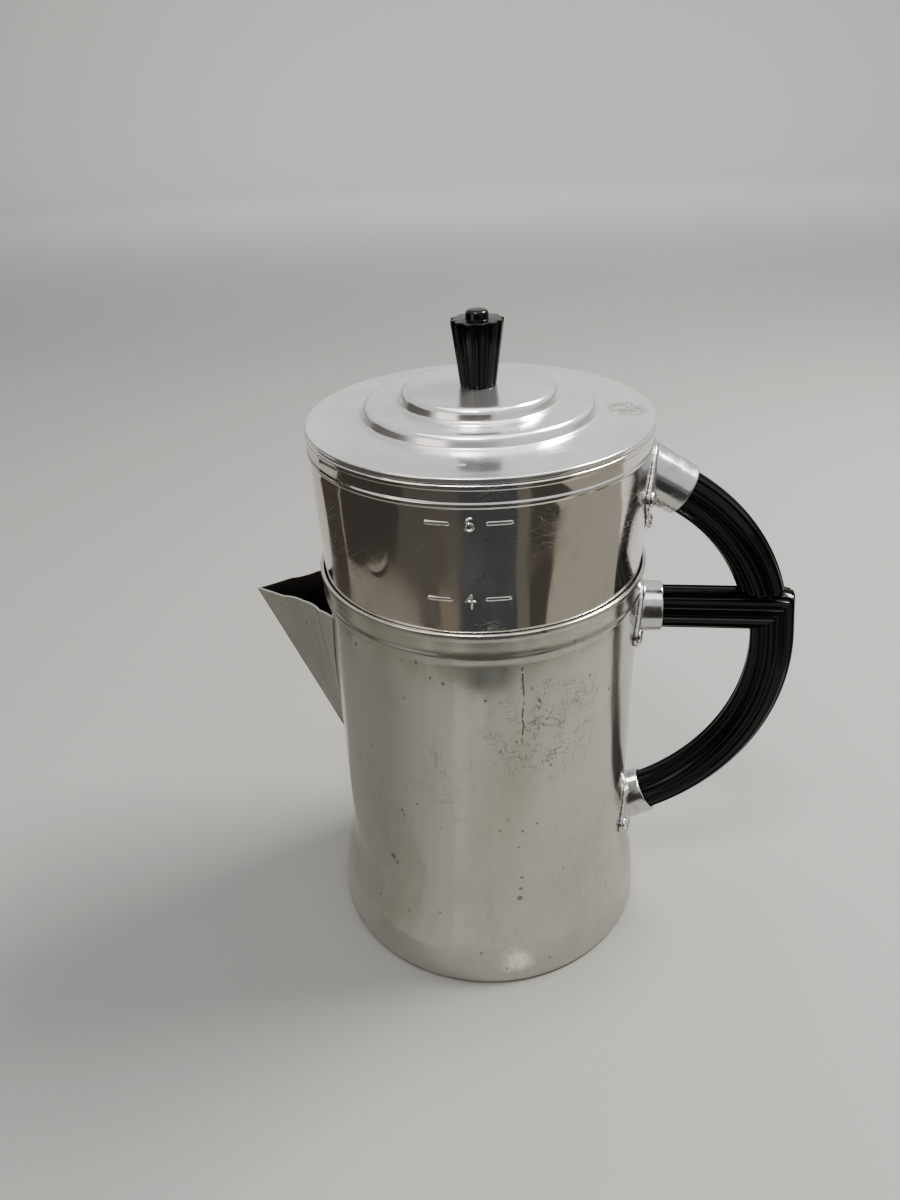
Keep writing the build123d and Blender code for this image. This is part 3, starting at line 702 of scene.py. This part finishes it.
# Cards that lie on the floor, as corners in millimetres and a brightness, give the polished wall
# the dark and warm stripes it mirrors. These two edges are each shared by two cards.
LEFT_EDGE = (
    (-136, -243), (-165, -250), (-207, -254), (-278, -225), (-345, -146), (-388, -78), (-640, -108),
)
RIGHT_EDGE = ((193, -204), (235, -226), (378, -262), (1400, -520))
FLOOR_CARDS = {
    "left_dark": (((-250, 125), (-278, 17), (-520, 72), (-490, 300)), (0.075, 0.064, 0.054)),
    "left_dim": (((-280, 17), (-272, -63), (-226, -160), *LEFT_EDGE, (-640, 90)), (0.23, 0.205, 0.175)),
    "front_left": (
        ((-38, -266), *LEFT_EDGE, (-1200, -600), (-1200, -1400), (-205, -1400)),
        (0.100, 0.091, 0.080),
    ),
    "front_middle": (((120, -245), (-38, -266), (-205, -1400), (735, -1400)), (0.066, 0.070, 0.074)),
    "front_strip": (((155, -227), (120, -245), (735, -1400), (990, -1400)), (0.150, 0.135, 0.110)),
    "front_right": (
        (RIGHT_EDGE[0], (155, -227), (990, -1400), (1400, -1400), *RIGHT_EDGE[:0:-1]),
        (0.072, 0.064, 0.056),
    ),
    "right_dim": ((*RIGHT_EDGE, (1400, 330), (284, 85), (284, 0), (262, -107)), (0.30, 0.28, 0.24)),
    # Painted highlight: a glowing patch, no lamp, that the pot's foot mirrors as a glint
    "glint": (
        ((12, -70), (20, -67), (28, -67), (34, -76), (30, -87), (22, -90), (13, -84)),
        (0.55, 0.52, 0.50),
    ),
}
UPPER_FLOOR_CARDS = {
    # Painted highlight: a brighter glowing patch in the middle of the foot's glint
    "glint_middle": (
        ((16, -71), (21, -69), (27, -71), (29, -77), (24, -82), (17, -80)),
        (0.80, 0.72, 0.70),
    ),
    "brown_strip": (((-104, -262), (-50, -272), (-66, -338), (-135, -325)), (0.19, 0.165, 0.13)),
    "far_left": (
        (
            (-700, 85), (-372, 30), (-350, -70), (-340, -150), (-285, -225), (-330, -340),
            (-520, -560), (-1000, -700),
        ),
        (0.060, 0.053, 0.046),
    ),
}


def lay_cards(cards, lift):
    for name, (corners, colour) in cards.items():
        add_card(name, [(x * MM, y * MM, lift) for x, y in corners], colour)


# Painted shadow: ring sectors left of the pot, seen only in reflections, stand in for the pot's shadow
# on the floor. They darken in steps, each up to the angle given.
SHADE_RADII = (0.272, 0.085)
SHADE_COLOUR = (0.43, 0.425, 0.395)
SHADES = ((-151, 0.56), (-142, 0.62), (-133, 0.70), (-124, 0.78), (-115, 0.86), (-106, 0.94))


def add_shades():
    start = -210
    for i, (end, shade) in enumerate(SHADES):
        turns = np.linspace(math.radians(start), math.radians(end), 6)
        ring = []
        for radius, along in zip(SHADE_RADII, (turns, turns[::-1])):
            ring += [polar(radius, t, LIFT) for t in along]
        add_card(f"left_shade_{i}", ring, tuple(c * shade for c in SHADE_COLOUR))
        start = end


def standing_card(name, start, end, bottom, top, colour):
    (x0, y0), (x1, y1) = start, end
    corners = [(x0, y0, bottom), (x1, y1, bottom), (x1, y1, top), (x0, y0, top)]
    add_card(name, corners, colour)


def ceiling_card(name, back, front, colour):
    side, height = 0.8, 1.5
    corners = [(-side, front), (side, front), (side, back), (-side, back)]
    add_card(name, [(x, y, height) for x, y in corners], colour)


lay_cards(FLOOR_CARDS, LIFT)
add_shades()
lay_cards(UPPER_FLOOR_CARDS, 2 * LIFT)
standing_card("front_dark", (-0.42, -0.95), (0.40, -0.95), 0.0, 0.62, (0.085, 0.070, 0.062))
standing_card("front_warm", (-0.92, -0.62), (-0.50, -0.95), 0.25, 0.80, (1.5, 1.32, 1.26))
standing_card("left_dark_wall", (-1.0, 0.45), (-1.0, -0.45), 0.0, 0.55, (0.07, 0.060, 0.052))
ceiling_card("ceiling", 0.05, -0.55, (1.5, 1.5, 1.53))
ceiling_card("tube_back", 0.19, 0.14, (8.0, 8.0, 8.1))
ceiling_card("tube_front", -0.66, -0.71, (6.0, 6.0, 6.1))

# ---------------- serving pot
# waves as ripple takes them, dents as dents takes them
POT_WAVES = (
    (0.05, 3, 0.03, 0.4), (0.035, 5, -0.05, 1.9), (0.025, 9, 0.09, 0.7), (0.018, 13, -0.15, 2.6),
)
POT_DENTS = (
    (-118, 52, 9, 7, 0.35), (-60, 96, 14, 9, 0.18), (-95, 118, 16, 12, 0.15),
    (-84, 14, 12, 5, 0.25), (-30, 66, 12, 16, 0.2), (60, 90, 16, 14, 0.3), (130, 60, 12, 12, 0.25),
)


# corners of the window in the wall behind the spout, as (degrees from the spout, height)
WINDOW = ((-21.5, 143.5), (21.5, 143.5), (12, 112), (0, 80), (-12, 112))


def pot_bend(radius, height, turn):
    fade = smooth(height, 4, 18) * (1 - smooth(height, 140, 151)) * smooth(radius, 40, 56)
    move = ripple(turn, height, POT_WAVES) - dents(turn, height, POT_RADIUS_LOW, POT_DENTS)
    return radius + move * fade, height


def with_window(body):
    """The pot's body with the window cut out of its wall."""
    rings = []
    for reach in (52, 66):
        rings.append([polar(reach, math.pi + math.radians(a), z) for a, z in WINDOW])
    cutter = linked("window", outward(make_mesh(*tube(rings))))
    result = applied(body, "BOOLEAN", operation="DIFFERENCE", solver="EXACT", object=cutter)
    bpy.data.objects.remove(cutter)
    return result


def pot_mesh():
    outer_flare = [(r, z, 0) for r, z in FLARE_CURVE[1:]]
    inner_flare = [(r - SHEET, max(z, 2 * BASE_THICKNESS), 0) for r, z in FLARE_CURVE[:0:-1]]
    corners = (
        [(0, 0, 0), (64.0, 0, 0.6), (BASE_RADIUS, 1.3, 0.5)]
        + outer_flare
        + [
            (59.1, BEAD_BOTTOM, 0.4),
            (60.2, BEAD_BOTTOM + 0.9, 0.6),
            (60.2, BEAD_TOP - 0.9, 0.6),
            (59.85, BEAD_TOP, 0.35),
            (60.1, POT_RIM - 2.2, 0.25),
            (60.6, POT_RIM - 1.9, 0.5),
            (60.6, POT_RIM - 0.15, 0.6),
            (59.9, POT_RIM, 0.3),
            (59.25, POT_RIM, 0.3),
            (59.0, SHOULDER, 0.2),
            (58.2, SHOULDER, 0.2),
            (58.0, FLARE_TOP, 0),
        ]
        + inner_flare[1:]
        + [(64.2, BASE_THICKNESS, 0.8), (0, BASE_THICKNESS, 0)]
    )
    profile = rounded(corners, lambda p: 1.6 if p[0] > 50 else 6.0)
    return with_window(make_mesh(*lathe(profile, columns(288), pot_bend)))


add_piece("pot_body_turned", pot_mesh(), "pot", POT_SATIN, ("pot_body",))

# ---------------- spout
# One side of the mouth's edge, from the tip to the wall: a few slightly folded facets.
MOUTH = (
    (-SPOUT_TIP, 0.0, 146.0), (-77.5, 7.6, 146.9), (-68.5, 12.0, 147.5), (-60.5, 19.6, 148.0),
    (-53.4, 25.9, 148.0),
)
HOLLOWS = (0.1, 0.8, 0.9, 0.5)  # how far each facet bends in
CORNER = np.array(MOUTH[-1])
CORNER_TURN = math.atan2(CORNER[1], -CORNER[0])
SPOUT_SHEET = 0.8


def spout_side():
    """Points of one side: a row for each place along the mouth's edge, running down to the foot."""
    foot = np.array([-pot_radius(SPOUT_BOTTOM) + 0.15, 0, SPOUT_BOTTOM])
    facets = len(MOUTH) - 1
    grid = []
    for k, t in [(k, t) for k in range(facets) for t in np.arange(8) / 8] + [(facets - 1, 1.0)]:
        a, b = np.array(MOUTH[k]), np.array(MOUTH[k + 1])
        top = a + (b - a) * t
        side = np.array([-(b - a)[1], (b - a)[0], 0.0])
        side = side / np.linalg.norm(side)
        hollow = HOLLOWS[k] * 4 * t * (1 - t)
        # nearer to the wall, the side follows its curve more
        weight = float(smooth((k + t) / facets, 0.55, 1.0))
        row = []
        for v in np.linspace(0, 0.985, 46):
            p = top + (foot - top) * v - side * hollow * (1 - v)
            straight = CORNER + (foot - CORNER) * v
            wall = pot_radius(straight[2]) - 0.05
            turn = CORNER_TURN * (1 - v)
            on_wall = np.array([-wall * math.cos(turn), wall * math.sin(turn), straight[2]])
            row.append(p + (on_wall - straight) * weight)
        grid.append(row)
    return np.array(grid)


def spout_mesh():
    side = spout_side()
    grid = np.concatenate([side[:0:-1] * np.array([1, -1, 1]), side])
    index = np.arange(grid.shape[0] * grid.shape[1]).reshape(grid.shape[:2])
    faces = np.stack([index[:-1, :-1], index[1:, :-1], index[1:, 1:], index[:-1, 1:]], -1)
    mesh = make_mesh(grid.reshape(-1, 3), faces.reshape(-1, 4).tolist())
    if mesh.polygons[len(mesh.polygons) // 4].normal.x > 0:
        mesh.flip_normals()
    # two slots, so that the inner faces of the sheet get the second
    mesh.materials.append(POT_SATIN)
    mesh.materials.append(TARNISH)
    sheet = {"thickness": SPOUT_SHEET * MM, "offset": -1, "use_even_offset": True}
    return applied(mesh, "SOLIDIFY", material_offset=1, **sheet)


add_piece("spout_folded", spout_mesh(), "pot", POT_SATIN, ("spout",), 22, TARNISH)


def seam_mesh():
    """Slim flattened beads along both lines where the spout meets the wall."""
    half_width, half_height, aside = 0.95, 0.5, 0.55
    parts = []
    for hand in (1, -1):
        rings = []
        for v in np.linspace(0, 0.97, 40):
            z = CORNER[2] + 1.0 + (SPOUT_BOTTOM - CORNER[2]) * v
            wall = pot_radius(z)
            narrow = 1 - 0.5 * v
            ring = []
            for q in np.arange(12) / 12 * 2 * math.pi:
                across = (aside + half_width * math.cos(q)) * narrow / wall
                turn = math.pi - hand * (CORNER_TURN * (1 - v) + across)
                ring.append(polar(wall + half_height * narrow * math.sin(q), turn, z))
            rings.append(ring)
        parts.append(tube(rings))
    return outward(make_mesh(*joined(parts)))


add_piece("spout_seam", seam_mesh(), "pot", SEAM)

# ---------------- water container with its raised cup marks
WALL = 59.85  # radius at the marks
MARK_HEIGHT = 0.34
MARK_ROWS = ((173.2, 180.2), (199.4, 206.5))  # heights between which the marks lie
MARK_TURNS = (math.radians(-105), math.radians(-73))
DASH_HALF = 0.62
# as (azimuth of one end, azimuth of the other, height)
DASHES = (
    (-102.2, -94.6, 203.85), (-83.9, -76.1, 203.95), (-102.4, -94.7, 177.3), (-84.3, -76.6, 177.5),
)
SIX = (-88.9, 203.7)  # azimuth and height of the number's centre
FOUR = (-89.1, 177.3)


def arc(centre, size, angles):
    """Points of an ellipse's arc, in millimetres from a number's centre."""
    return [(centre[0] + size[0] * math.cos(q), centre[1] + size[1] * math.sin(q)) for q in angles]


def stroke(points):
    return list(zip(points[:-1], points[1:]))


def digit_strokes():
    """Line pieces of the two cup numbers, each with its number's centre."""
    loop = arc((0.06, -0.84), (1.24, 1.20), np.arange(17) / 16 * 2 * math.pi)
    back = arc((0.48, -0.80), (1.68, 2.80), np.radians(np.arange(80, 191, 10)))
    four = [(0.42, -1.75), (0.42, 1.7), (-1.4, -0.6), (1.5, -0.6)]
    return [(SIX, stroke(loop) + stroke(back)), (FOUR, stroke(four))]


def capsule(s, z, a, b):
    """Distance from points to a line piece."""
    ax, az = a
    dx, dz = b[0] - ax, b[1] - az
    t = np.clip(((s - ax) * dx + (z - az) * dz) / (dx * dx + dz * dz + 1e-12), 0, 1)
    return np.hypot(s - ax - t * dx, z - az - t * dz)


def marks_relief(turn, z):
    """Height of the raised marks over the wall."""
    relief = np.zeros_like(turn)
    (low, low_top), (high, high_top) = MARK_ROWS
    rows = ((z > low) & (z < low_top)) | ((z > high) & (z < high_top))
    near = (turn > MARK_TURNS[0]) & (turn < MARK_TURNS[1]) & rows
    t, h = turn[near], z[near]
    best = np.zeros_like(t)
    for left, right, height in DASHES:
        a, b = math.radians(left) * WALL + DASH_HALF, math.radians(right) * WALL - DASH_HALF
        away = capsule(t * WALL, h - height, (a, 0.0), (b, 0.0))
        best = np.maximum(best, MARK_HEIGHT * (1 - smooth(away, DASH_HALF - 0.30, DASH_HALF + 0.10)))
    for (azimuth, height), pieces in digit_strokes():
        s = (t - math.radians(azimuth)) * WALL
        away = np.min([capsule(s, h - height, a, b) for a, b in pieces], axis=0)
        best = np.maximum(best, MARK_HEIGHT * (1 - smooth(away, 0.08, 0.36)))
    relief[near] = best
    return relief


CONTAINER_WAVES = (
    (0.045, 2, 0.02, 0.9), (0.035, 5, 0.06, 0.2), (0.022, 9, -0.10, 1.1), (0.016, 14, 0.13, 2.2),
    (0.010, 23, -0.2, 0.5),
)
CONTAINER_DENTS = (
    (-127, 172, 3.5, 4.0, 0.06), (-70, 184, 3.0, 12, 0.07), (-59, 192, 6, 8, 0.10),
    (-107, 195, 6, 10, 0.08), (-100, 170, 7, 6, 0.10), (-40, 200, 7, 6, 0.22),
    (35, 182, 10, 9, 0.3), (120, 190, 9, 12, 0.25), (-160, 175, 6, 9, 0.2),
)
KNOCK = (math.radians(-121.0), 189.5)  # turn and height of its middle
KNOCK_HALF = (5.2, 7.2)
KNOCK_LEAN = 0.85
KNOCK_DEPTH = 0.15
KNOCK_CREASE = 0.75  # half width of the crease itself


def knock(turn, z):
    """Depth of an old knock in the container's left side: a short crescent crease."""
    across = (turn - KNOCK[0]) * CONTAINER_HIGH / KNOCK_HALF[0]
    up = (z - KNOCK[1]) / KNOCK_HALF[1]
    away = np.hypot(across, up)
    ahead = across * math.cos(KNOCK_LEAN) - up * math.sin(KNOCK_LEAN)
    facing = np.clip(ahead / np.maximum(away, 1e-6), 0, 1)
    crease = np.exp(-(((away - 1) * KNOCK_HALF[0] / KNOCK_CREASE) ** 2))
    return KNOCK_DEPTH * crease * facing**2.5


def container_bend(radius, height, turn):
    fade = smooth(height, 156, 166) * (1 - 0.8 * smooth(height, 205, 209))
    move = ripple(turn, height, CONTAINER_WAVES) - dents(turn, height, CONTAINER_HIGH, CONTAINER_DENTS)
    move = move - knock(turn, height)
    outside = radius > container_radius(height) - 0.4
    return radius + move * fade + np.where(outside, marks_relief(turn, height), 0), height


def container_step(p):
    """Rows are close together where the marks are, and fairly close where the knock is."""
    radius, height = p
    if radius <= container_radius(height) - 0.2:
        return 2.0
    if any(low < height < high for low, high in MARK_ROWS):
        return 0.17
    return 0.8 if MARK_ROWS[0][1] <= height < 196 else 2.0


def container_mesh():
    corners = (
        (NECK_RADIUS, NECK_BOTTOM, 0.3),
        (NECK_RADIUS, SHOULDER, 0.5),
        (CONTAINER_LOW, SHOULDER, 2.2),
        (CONTAINER_HIGH, STAMPED[0], 0.3),
        (CONTAINER_HIGH + 0.4, STAMPED[0] + 0.6, 0.4),
        (CONTAINER_HIGH + 0.4, STAMPED[1] - 0.6, 0.4),
        (CONTAINER_HIGH, STAMPED[1], 0.3),
        (CONTAINER_HIGH, CONTAINER_RIM - 2.0, 0.2),
        (CONTAINER_HIGH + 0.45, CONTAINER_RIM - 1.6, 0.4),
        (CONTAINER_HIGH + 0.45, CONTAINER_RIM - 0.3, 0.5),
        (CONTAINER_HIGH - 0.05, CONTAINER_RIM, 0.3),
        (CONTAINER_HIGH - SHEET, CONTAINER_RIM, 0.3),
        (CONTAINER_HIGH - SHEET, STAMPED[0], 0.3),
        (CONTAINER_LOW - SHEET, SHOULDER + SHEET, 1.6),
        (NECK_RADIUS - SHEET, SHOULDER + SHEET, 0.4),
        (NECK_RADIUS - SHEET, NECK_BOTTOM, 0.3),
    )
    profile = rounded(corners, container_step, closed=True)
    knocked = (-128.5, -114.5, 0.5)
    marked = ((-103.6, -94.0, 0.26), (-94.0, -84.6, 0.16), (-84.6, -75.0, 0.26))
    turns = columns(240, (knocked, *marked))
    return make_mesh(*lathe(profile, turns, container_bend))


add_piece(
    "water_container_turned", container_mesh(), "brewer", POLISHED,
    ("water_container",), 50,
)

# ---------------- lid
LID_WAVES = ((0.05, 2, 0.0, 0.3), (0.04, 3, 0.0, 1.4), (0.02, 7, 0.0, 2.2), (0.012, 11, 0.0, 0.8))
# the first two are small sharp nicks, for which the mesh is finer
LID_DENTS = (
    (-92.2, 51.0, 1.3, 0.35, 0.22), (-129.1, 50.1, 1.5, 0.7, 0.16), (-50, 47, 6, 3, 0.15),
    (-150, 50, 8, 4, 0.12), (20, 33, 5, 2.5, 0.1), (140, 46, 7, 4, 0.15),
)
NICK_RADII = (48.6, 52.4)
NICK_TURNS = ((-132.5, -126, 0.3), (-94.5, -90, 0.3))


def lid_bend(radius, height, turn):
    middle = smooth(radius, 12, 24) * (1 - smooth(radius, 55, 59))
    sink = ripple(turn, radius * 0.6, LID_WAVES) * middle + dents(turn, radius, radius, LID_DENTS)
    return radius, height - np.where(height > CONTAINER_RIM, sink, 0)


def lid_step(p):
    return 0.22 if NICK_RADII[0] < p[0] < NICK_RADII[1] and p[1] > LID_EDGE else 1.2


def lid_mesh():
    corners = (
        [(0, LID_PLATEAU - SHEET, 0)]
        + [(r, z - SHEET, rounding) for r, z, rounding in LID_STEPS]
        + [
            (SKIRT_RADIUS - SHEET, LID_EDGE - SHEET, 0.4),
            (SKIRT_RADIUS - SHEET, SKIRT_BOTTOM, 0.3),
            (SKIRT_RADIUS, SKIRT_BOTTOM, 0.3),
            (SKIRT_RADIUS, CONTAINER_RIM + 0.05, 0.2),
            (LID_RADIUS - 0.75, CONTAINER_RIM + 0.05, 0.2),
            (LID_RADIUS - 0.05, CONTAINER_RIM + 0.25, 0.35),
            (LID_RADIUS, LID_EDGE - 0.05, 0.7),
            (LID_RADIUS - 1.2, LID_EDGE + 0.08, 0.6),
        ]
        + list(LID_STEPS[::-1])
        + [(0, LID_PLATEAU, 0)]
    )
    profile = rounded(corners, lid_step)
    return make_mesh(*lathe(profile, columns(288, NICK_TURNS), lid_bend))


add_piece("lid_turned", lid_mesh(), "cover", LID_SATIN, ("lid",), 50)


# ---------------- fluted phenolic parts
def fluted(turn, radius, count, out, flute, soft):
    """Radius of a bar with round lengthwise flutes, their edges softened.

    Each flute is cut by a circle of radius flute whose centre lies out beyond the bar.
    """
    pitch = 2 * math.pi / count
    away = (turn + pitch / 2) % pitch - pitch / 2
    reach = radius + out
    inside = flute**2 - (reach * np.sin(away)) ** 2
    groove = np.where(inside > 0, reach * np.cos(away) - np.sqrt(np.maximum(inside, 0)), radius + 1)
    return -soft * np.log(np.exp(-radius / soft) + np.exp(-groove / soft)) + soft * 0.05


KNOB_RADII = (6.2, 9.05)  # at its foot and at its top
KNOB_FLUTES = 12
# level top of the knob and the round button in its middle, as (radius, height)
BUTTON = (
    (6.0, KNOB_TOP), (4.35, KNOB_TOP), (3.95, 250.12), (3.85, 250.4), (3.85, 251.9), (3.6, 252.5),
    (3.05, 252.88), (1.6, 253.0),
)


def knob_mesh():
    turns = np.arange(KNOB_FLUTES * 14) / (KNOB_FLUTES * 14) * 2 * math.pi
    rows = [(LID_PLATEAU, -0.35), (LID_PLATEAU + 0.35, 0)]
    rows += [(LID_PLATEAU + h, 0) for h in np.linspace(1.2, KNOB_TOP - LID_PLATEAU - 0.7, 14)]
    rows += [(KNOB_TOP - 0.35, -0.03), (KNOB_TOP - 0.1, -0.14), (KNOB_TOP, -0.4)]
    edges = []
    for z, shrink in rows:
        share = (z - LID_PLATEAU) / (KNOB_TOP - LID_PLATEAU)
        size = KNOB_RADII[0] + (KNOB_RADII[1] - KNOB_RADII[0]) * share + shrink
        edges.append((fluted(turns, size, KNOB_FLUTES, size * 0.06, size * 0.16, 0.05), z))
    rings = []
    for edge, z in edges + list(BUTTON):
        rings.append(np.stack([edge * np.cos(turns), edge * np.sin(turns), np.full_like(turns, z)], -1))
    return make_mesh(*tube(rings))


add_piece("lid_knob_fluted", knob_mesh(), "cover", PHENOLIC, ("lid_knob",), 40)

FLUTES = 14
AROUND = np.arange(FLUTES * 16) / (FLUTES * 16) * 2 * math.pi
GRIP_EDGE = fluted(AROUND, GRIP_RADIUS, FLUTES, 0.35, 1.15, 0.06)


def arc_ring(middle, angles, scale=1.0):
    """Ring of the grip's section across an arc; angles in degrees may differ round the ring."""
    x, z, radius = middle
    turn = np.radians(angles) * np.ones_like(AROUND)
    out = GRIP_EDGE * scale * np.sin(AROUND) + radius
    side = GRIP_EDGE * scale * np.cos(AROUND)
    return np.stack([x + out * np.cos(turn), side, z + out * np.sin(turn)], -1)


UPPER_SOCKET = 59.5  # degrees along the arc where the upper bracket's socket ends
LOWER_SOCKET = -61.0
LEVEL_END = BAR_HEIGHT + GRIP_RADIUS + 0.4  # height of the upper grip's free end


def level_angles(height, scale=1.0):
    """Angles along the upper arc that bring a ring to one height."""
    out = GRIP_EDGE * scale * np.sin(AROUND) + UPPER_ARC[2]
    return np.degrees(np.arcsin((height - UPPER_ARC[1]) / out))


def upper_grip():
    """The upper arc, cut off level at its free end with a rounded edge."""
    start = UPPER_SOCKET + math.degrees(TENON / UPPER_ARC[2])
    square = 26.0  # degrees: the last ring that stands square to the arc
    rings = [arc_ring(UPPER_ARC, a) for a in np.linspace(start, square, 42)]
    last = level_angles(LEVEL_END + 0.7)
    rings += [arc_ring(UPPER_ARC, square + (last - square) * t) for t in np.linspace(0.12, 1, 9)]
    for height, scale in ((0.35, 0.994), (0.12, 0.975), (0.0, 0.94)):
        rings.append(arc_ring(UPPER_ARC, level_angles(LEVEL_END + height, scale), scale))
    return outward(make_mesh(*tube(rings)))


add_piece(
    "upper_grip_fluted", upper_grip(), "brewer", PHENOLIC, ("upper_handle",), 45
)


def eased(ring, way):
    """The ring with its outer side drawn in near the mitre, way millimetres off, so it is soft."""
    soft = np.maximum(np.sin(AROUND), 0) ** 1.5
    return ring + np.array([-0.7, 0, -0.7]) * (0.75 * math.exp(-((way / 1.5) ** 2)) * soft)[:, None]


def lower_grip():
    """The lower arc up to a mitred corner, then the level bar back to the middle socket."""
    end = 7.0  # degrees along the arc where it goes on straight
    start = LOWER_SOCKET - math.degrees(TENON / LOWER_ARC[2])
    rings = [arc_ring(LOWER_ARC, a) for a in np.linspace(start, end, 76)]
    turn = math.radians(end)
    rise = np.array([-math.sin(turn), 0, math.cos(turn)])
    x, z, radius = LOWER_ARC
    top = np.array([x + radius * math.cos(turn), 0, z + radius * math.sin(turn)])
    corner = top + rise * (BAR_HEIGHT - top[2]) / rise[2]
    normal = np.array([-1.0, 0, 0]) + rise
    square = rings[-1]
    mitre = square + rise * (((corner - square) @ normal) / (rise @ normal))[:, None]
    for t in (0.25, 0.5, 0.7, 0.82, 0.90, 0.95, 0.98, 1.0):
        rings.append(eased(square + (mitre - square) * t, (1 - t) * 18.0))
    stop = np.array(mitre)
    stop[:, 0] = BAR_START - TENON
    for t in (0.01, 0.02, 0.035, 0.055, 0.08, 0.15, 0.3, 0.45, 0.6, 0.75, 0.88, 1.0):
        rings.append(eased(mitre + (stop - mitre) * t, t * 48.0))
    return outward(make_mesh(*tube(rings)))


add_piece("lower_grip_fluted", lower_grip(), "pot", PHENOLIC, ("lower_handle",), 45)


# ---------------- rivets
def rivet_parts(side, tail, radius_at, inside):
    """Domed rivets through a bracket's flange: shank, outer dome and a flatter head inside."""
    corners = (
        (0, -inside - 0.85, 0), (2.0, -inside - 0.75, 0.5), (2.9, -inside - 0.05, 0.3),
        (1.6, -inside, 0.05), (1.6, FLANGE, 0.05), (3.0, FLANGE + 0.02, 0.15),
        (2.85, FLANGE + 0.75, 0.7), (1.7, FLANGE + 1.5, 1.4), (0, FLANGE + 1.62, 0),
    )
    points, faces = lathe(rounded(corners, lambda p: 0.4), columns(40))
    parts = []
    for y, z in ((-SIDE_RIVET_Y, side), (SIDE_RIVET_Y, side), (0, tail)):
        radius = radius_at(z)
        turn = math.asin(y / radius)
        lean = (radius_at(z - 1) - radius_at(z + 1)) / 2
        out = np.array([math.cos(turn), math.sin(turn), lean])
        out = out / np.linalg.norm(out)
        across = np.array([-math.sin(turn), math.cos(turn), 0])
        up = np.cross(out, across)
        centre = np.array([radius * math.cos(turn), y, z])
        parts.append((centre + points @ np.array([across, up, out]), faces))
    return joined(parts)


# heights of the two side rivets and of the one below them
for which, body, side, tail, radius_at in (
    ("upper", "brewer", 191.4, 177.6, container_radius),
    ("middle", "pot", 136.0, 127.0, pot_radius),
    ("lower", "pot", 41.0, 30.0, pot_radius),
):
    rivets = make_mesh(*rivet_parts(side, tail, radius_at, SHEET + 0.1))
    replaced = (f"{which}_bracket_rivets",)
    add_piece(f"{which}_rivets_domed", rivets, body, RIVET, replaced, 50)

# ---------------- CAD nodes that stay
for name, material in (
    ("upper_bracket", CAST), ("middle_bracket", CAST), ("lower_bracket", CAST),
    ("lower_handle_screws", STEEL), ("upper_handle_screw", STEEL), ("knob_screw", STEEL),
    ("knob_washer", INNER), ("drip_plate", INNER), ("coffee_basket", INNER),
    ("spreader_plate", INNER), ("spreader_knob", PHENOLIC), ("spreader_rivet", RIVET),
):
    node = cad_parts[name]
    node.data.materials.clear()
    node.data.materials.append(material)
    weld = node.modifiers.new("weld", "WELD")
    weld.merge_threshold = 0.002 * MM
    # a cast bracket's edges are slightly rounded off
    if name.endswith("bracket"):
        cast = node.modifiers.new("cast", "REMESH")
        cast.mode = "VOXEL"
        cast.voxel_size = 0.36 * MM
        cast.use_smooth_shade = True
        soften = node.modifiers.new("soften", "SMOOTH")
        soften.factor = 0.5
        soften.iterations = 5
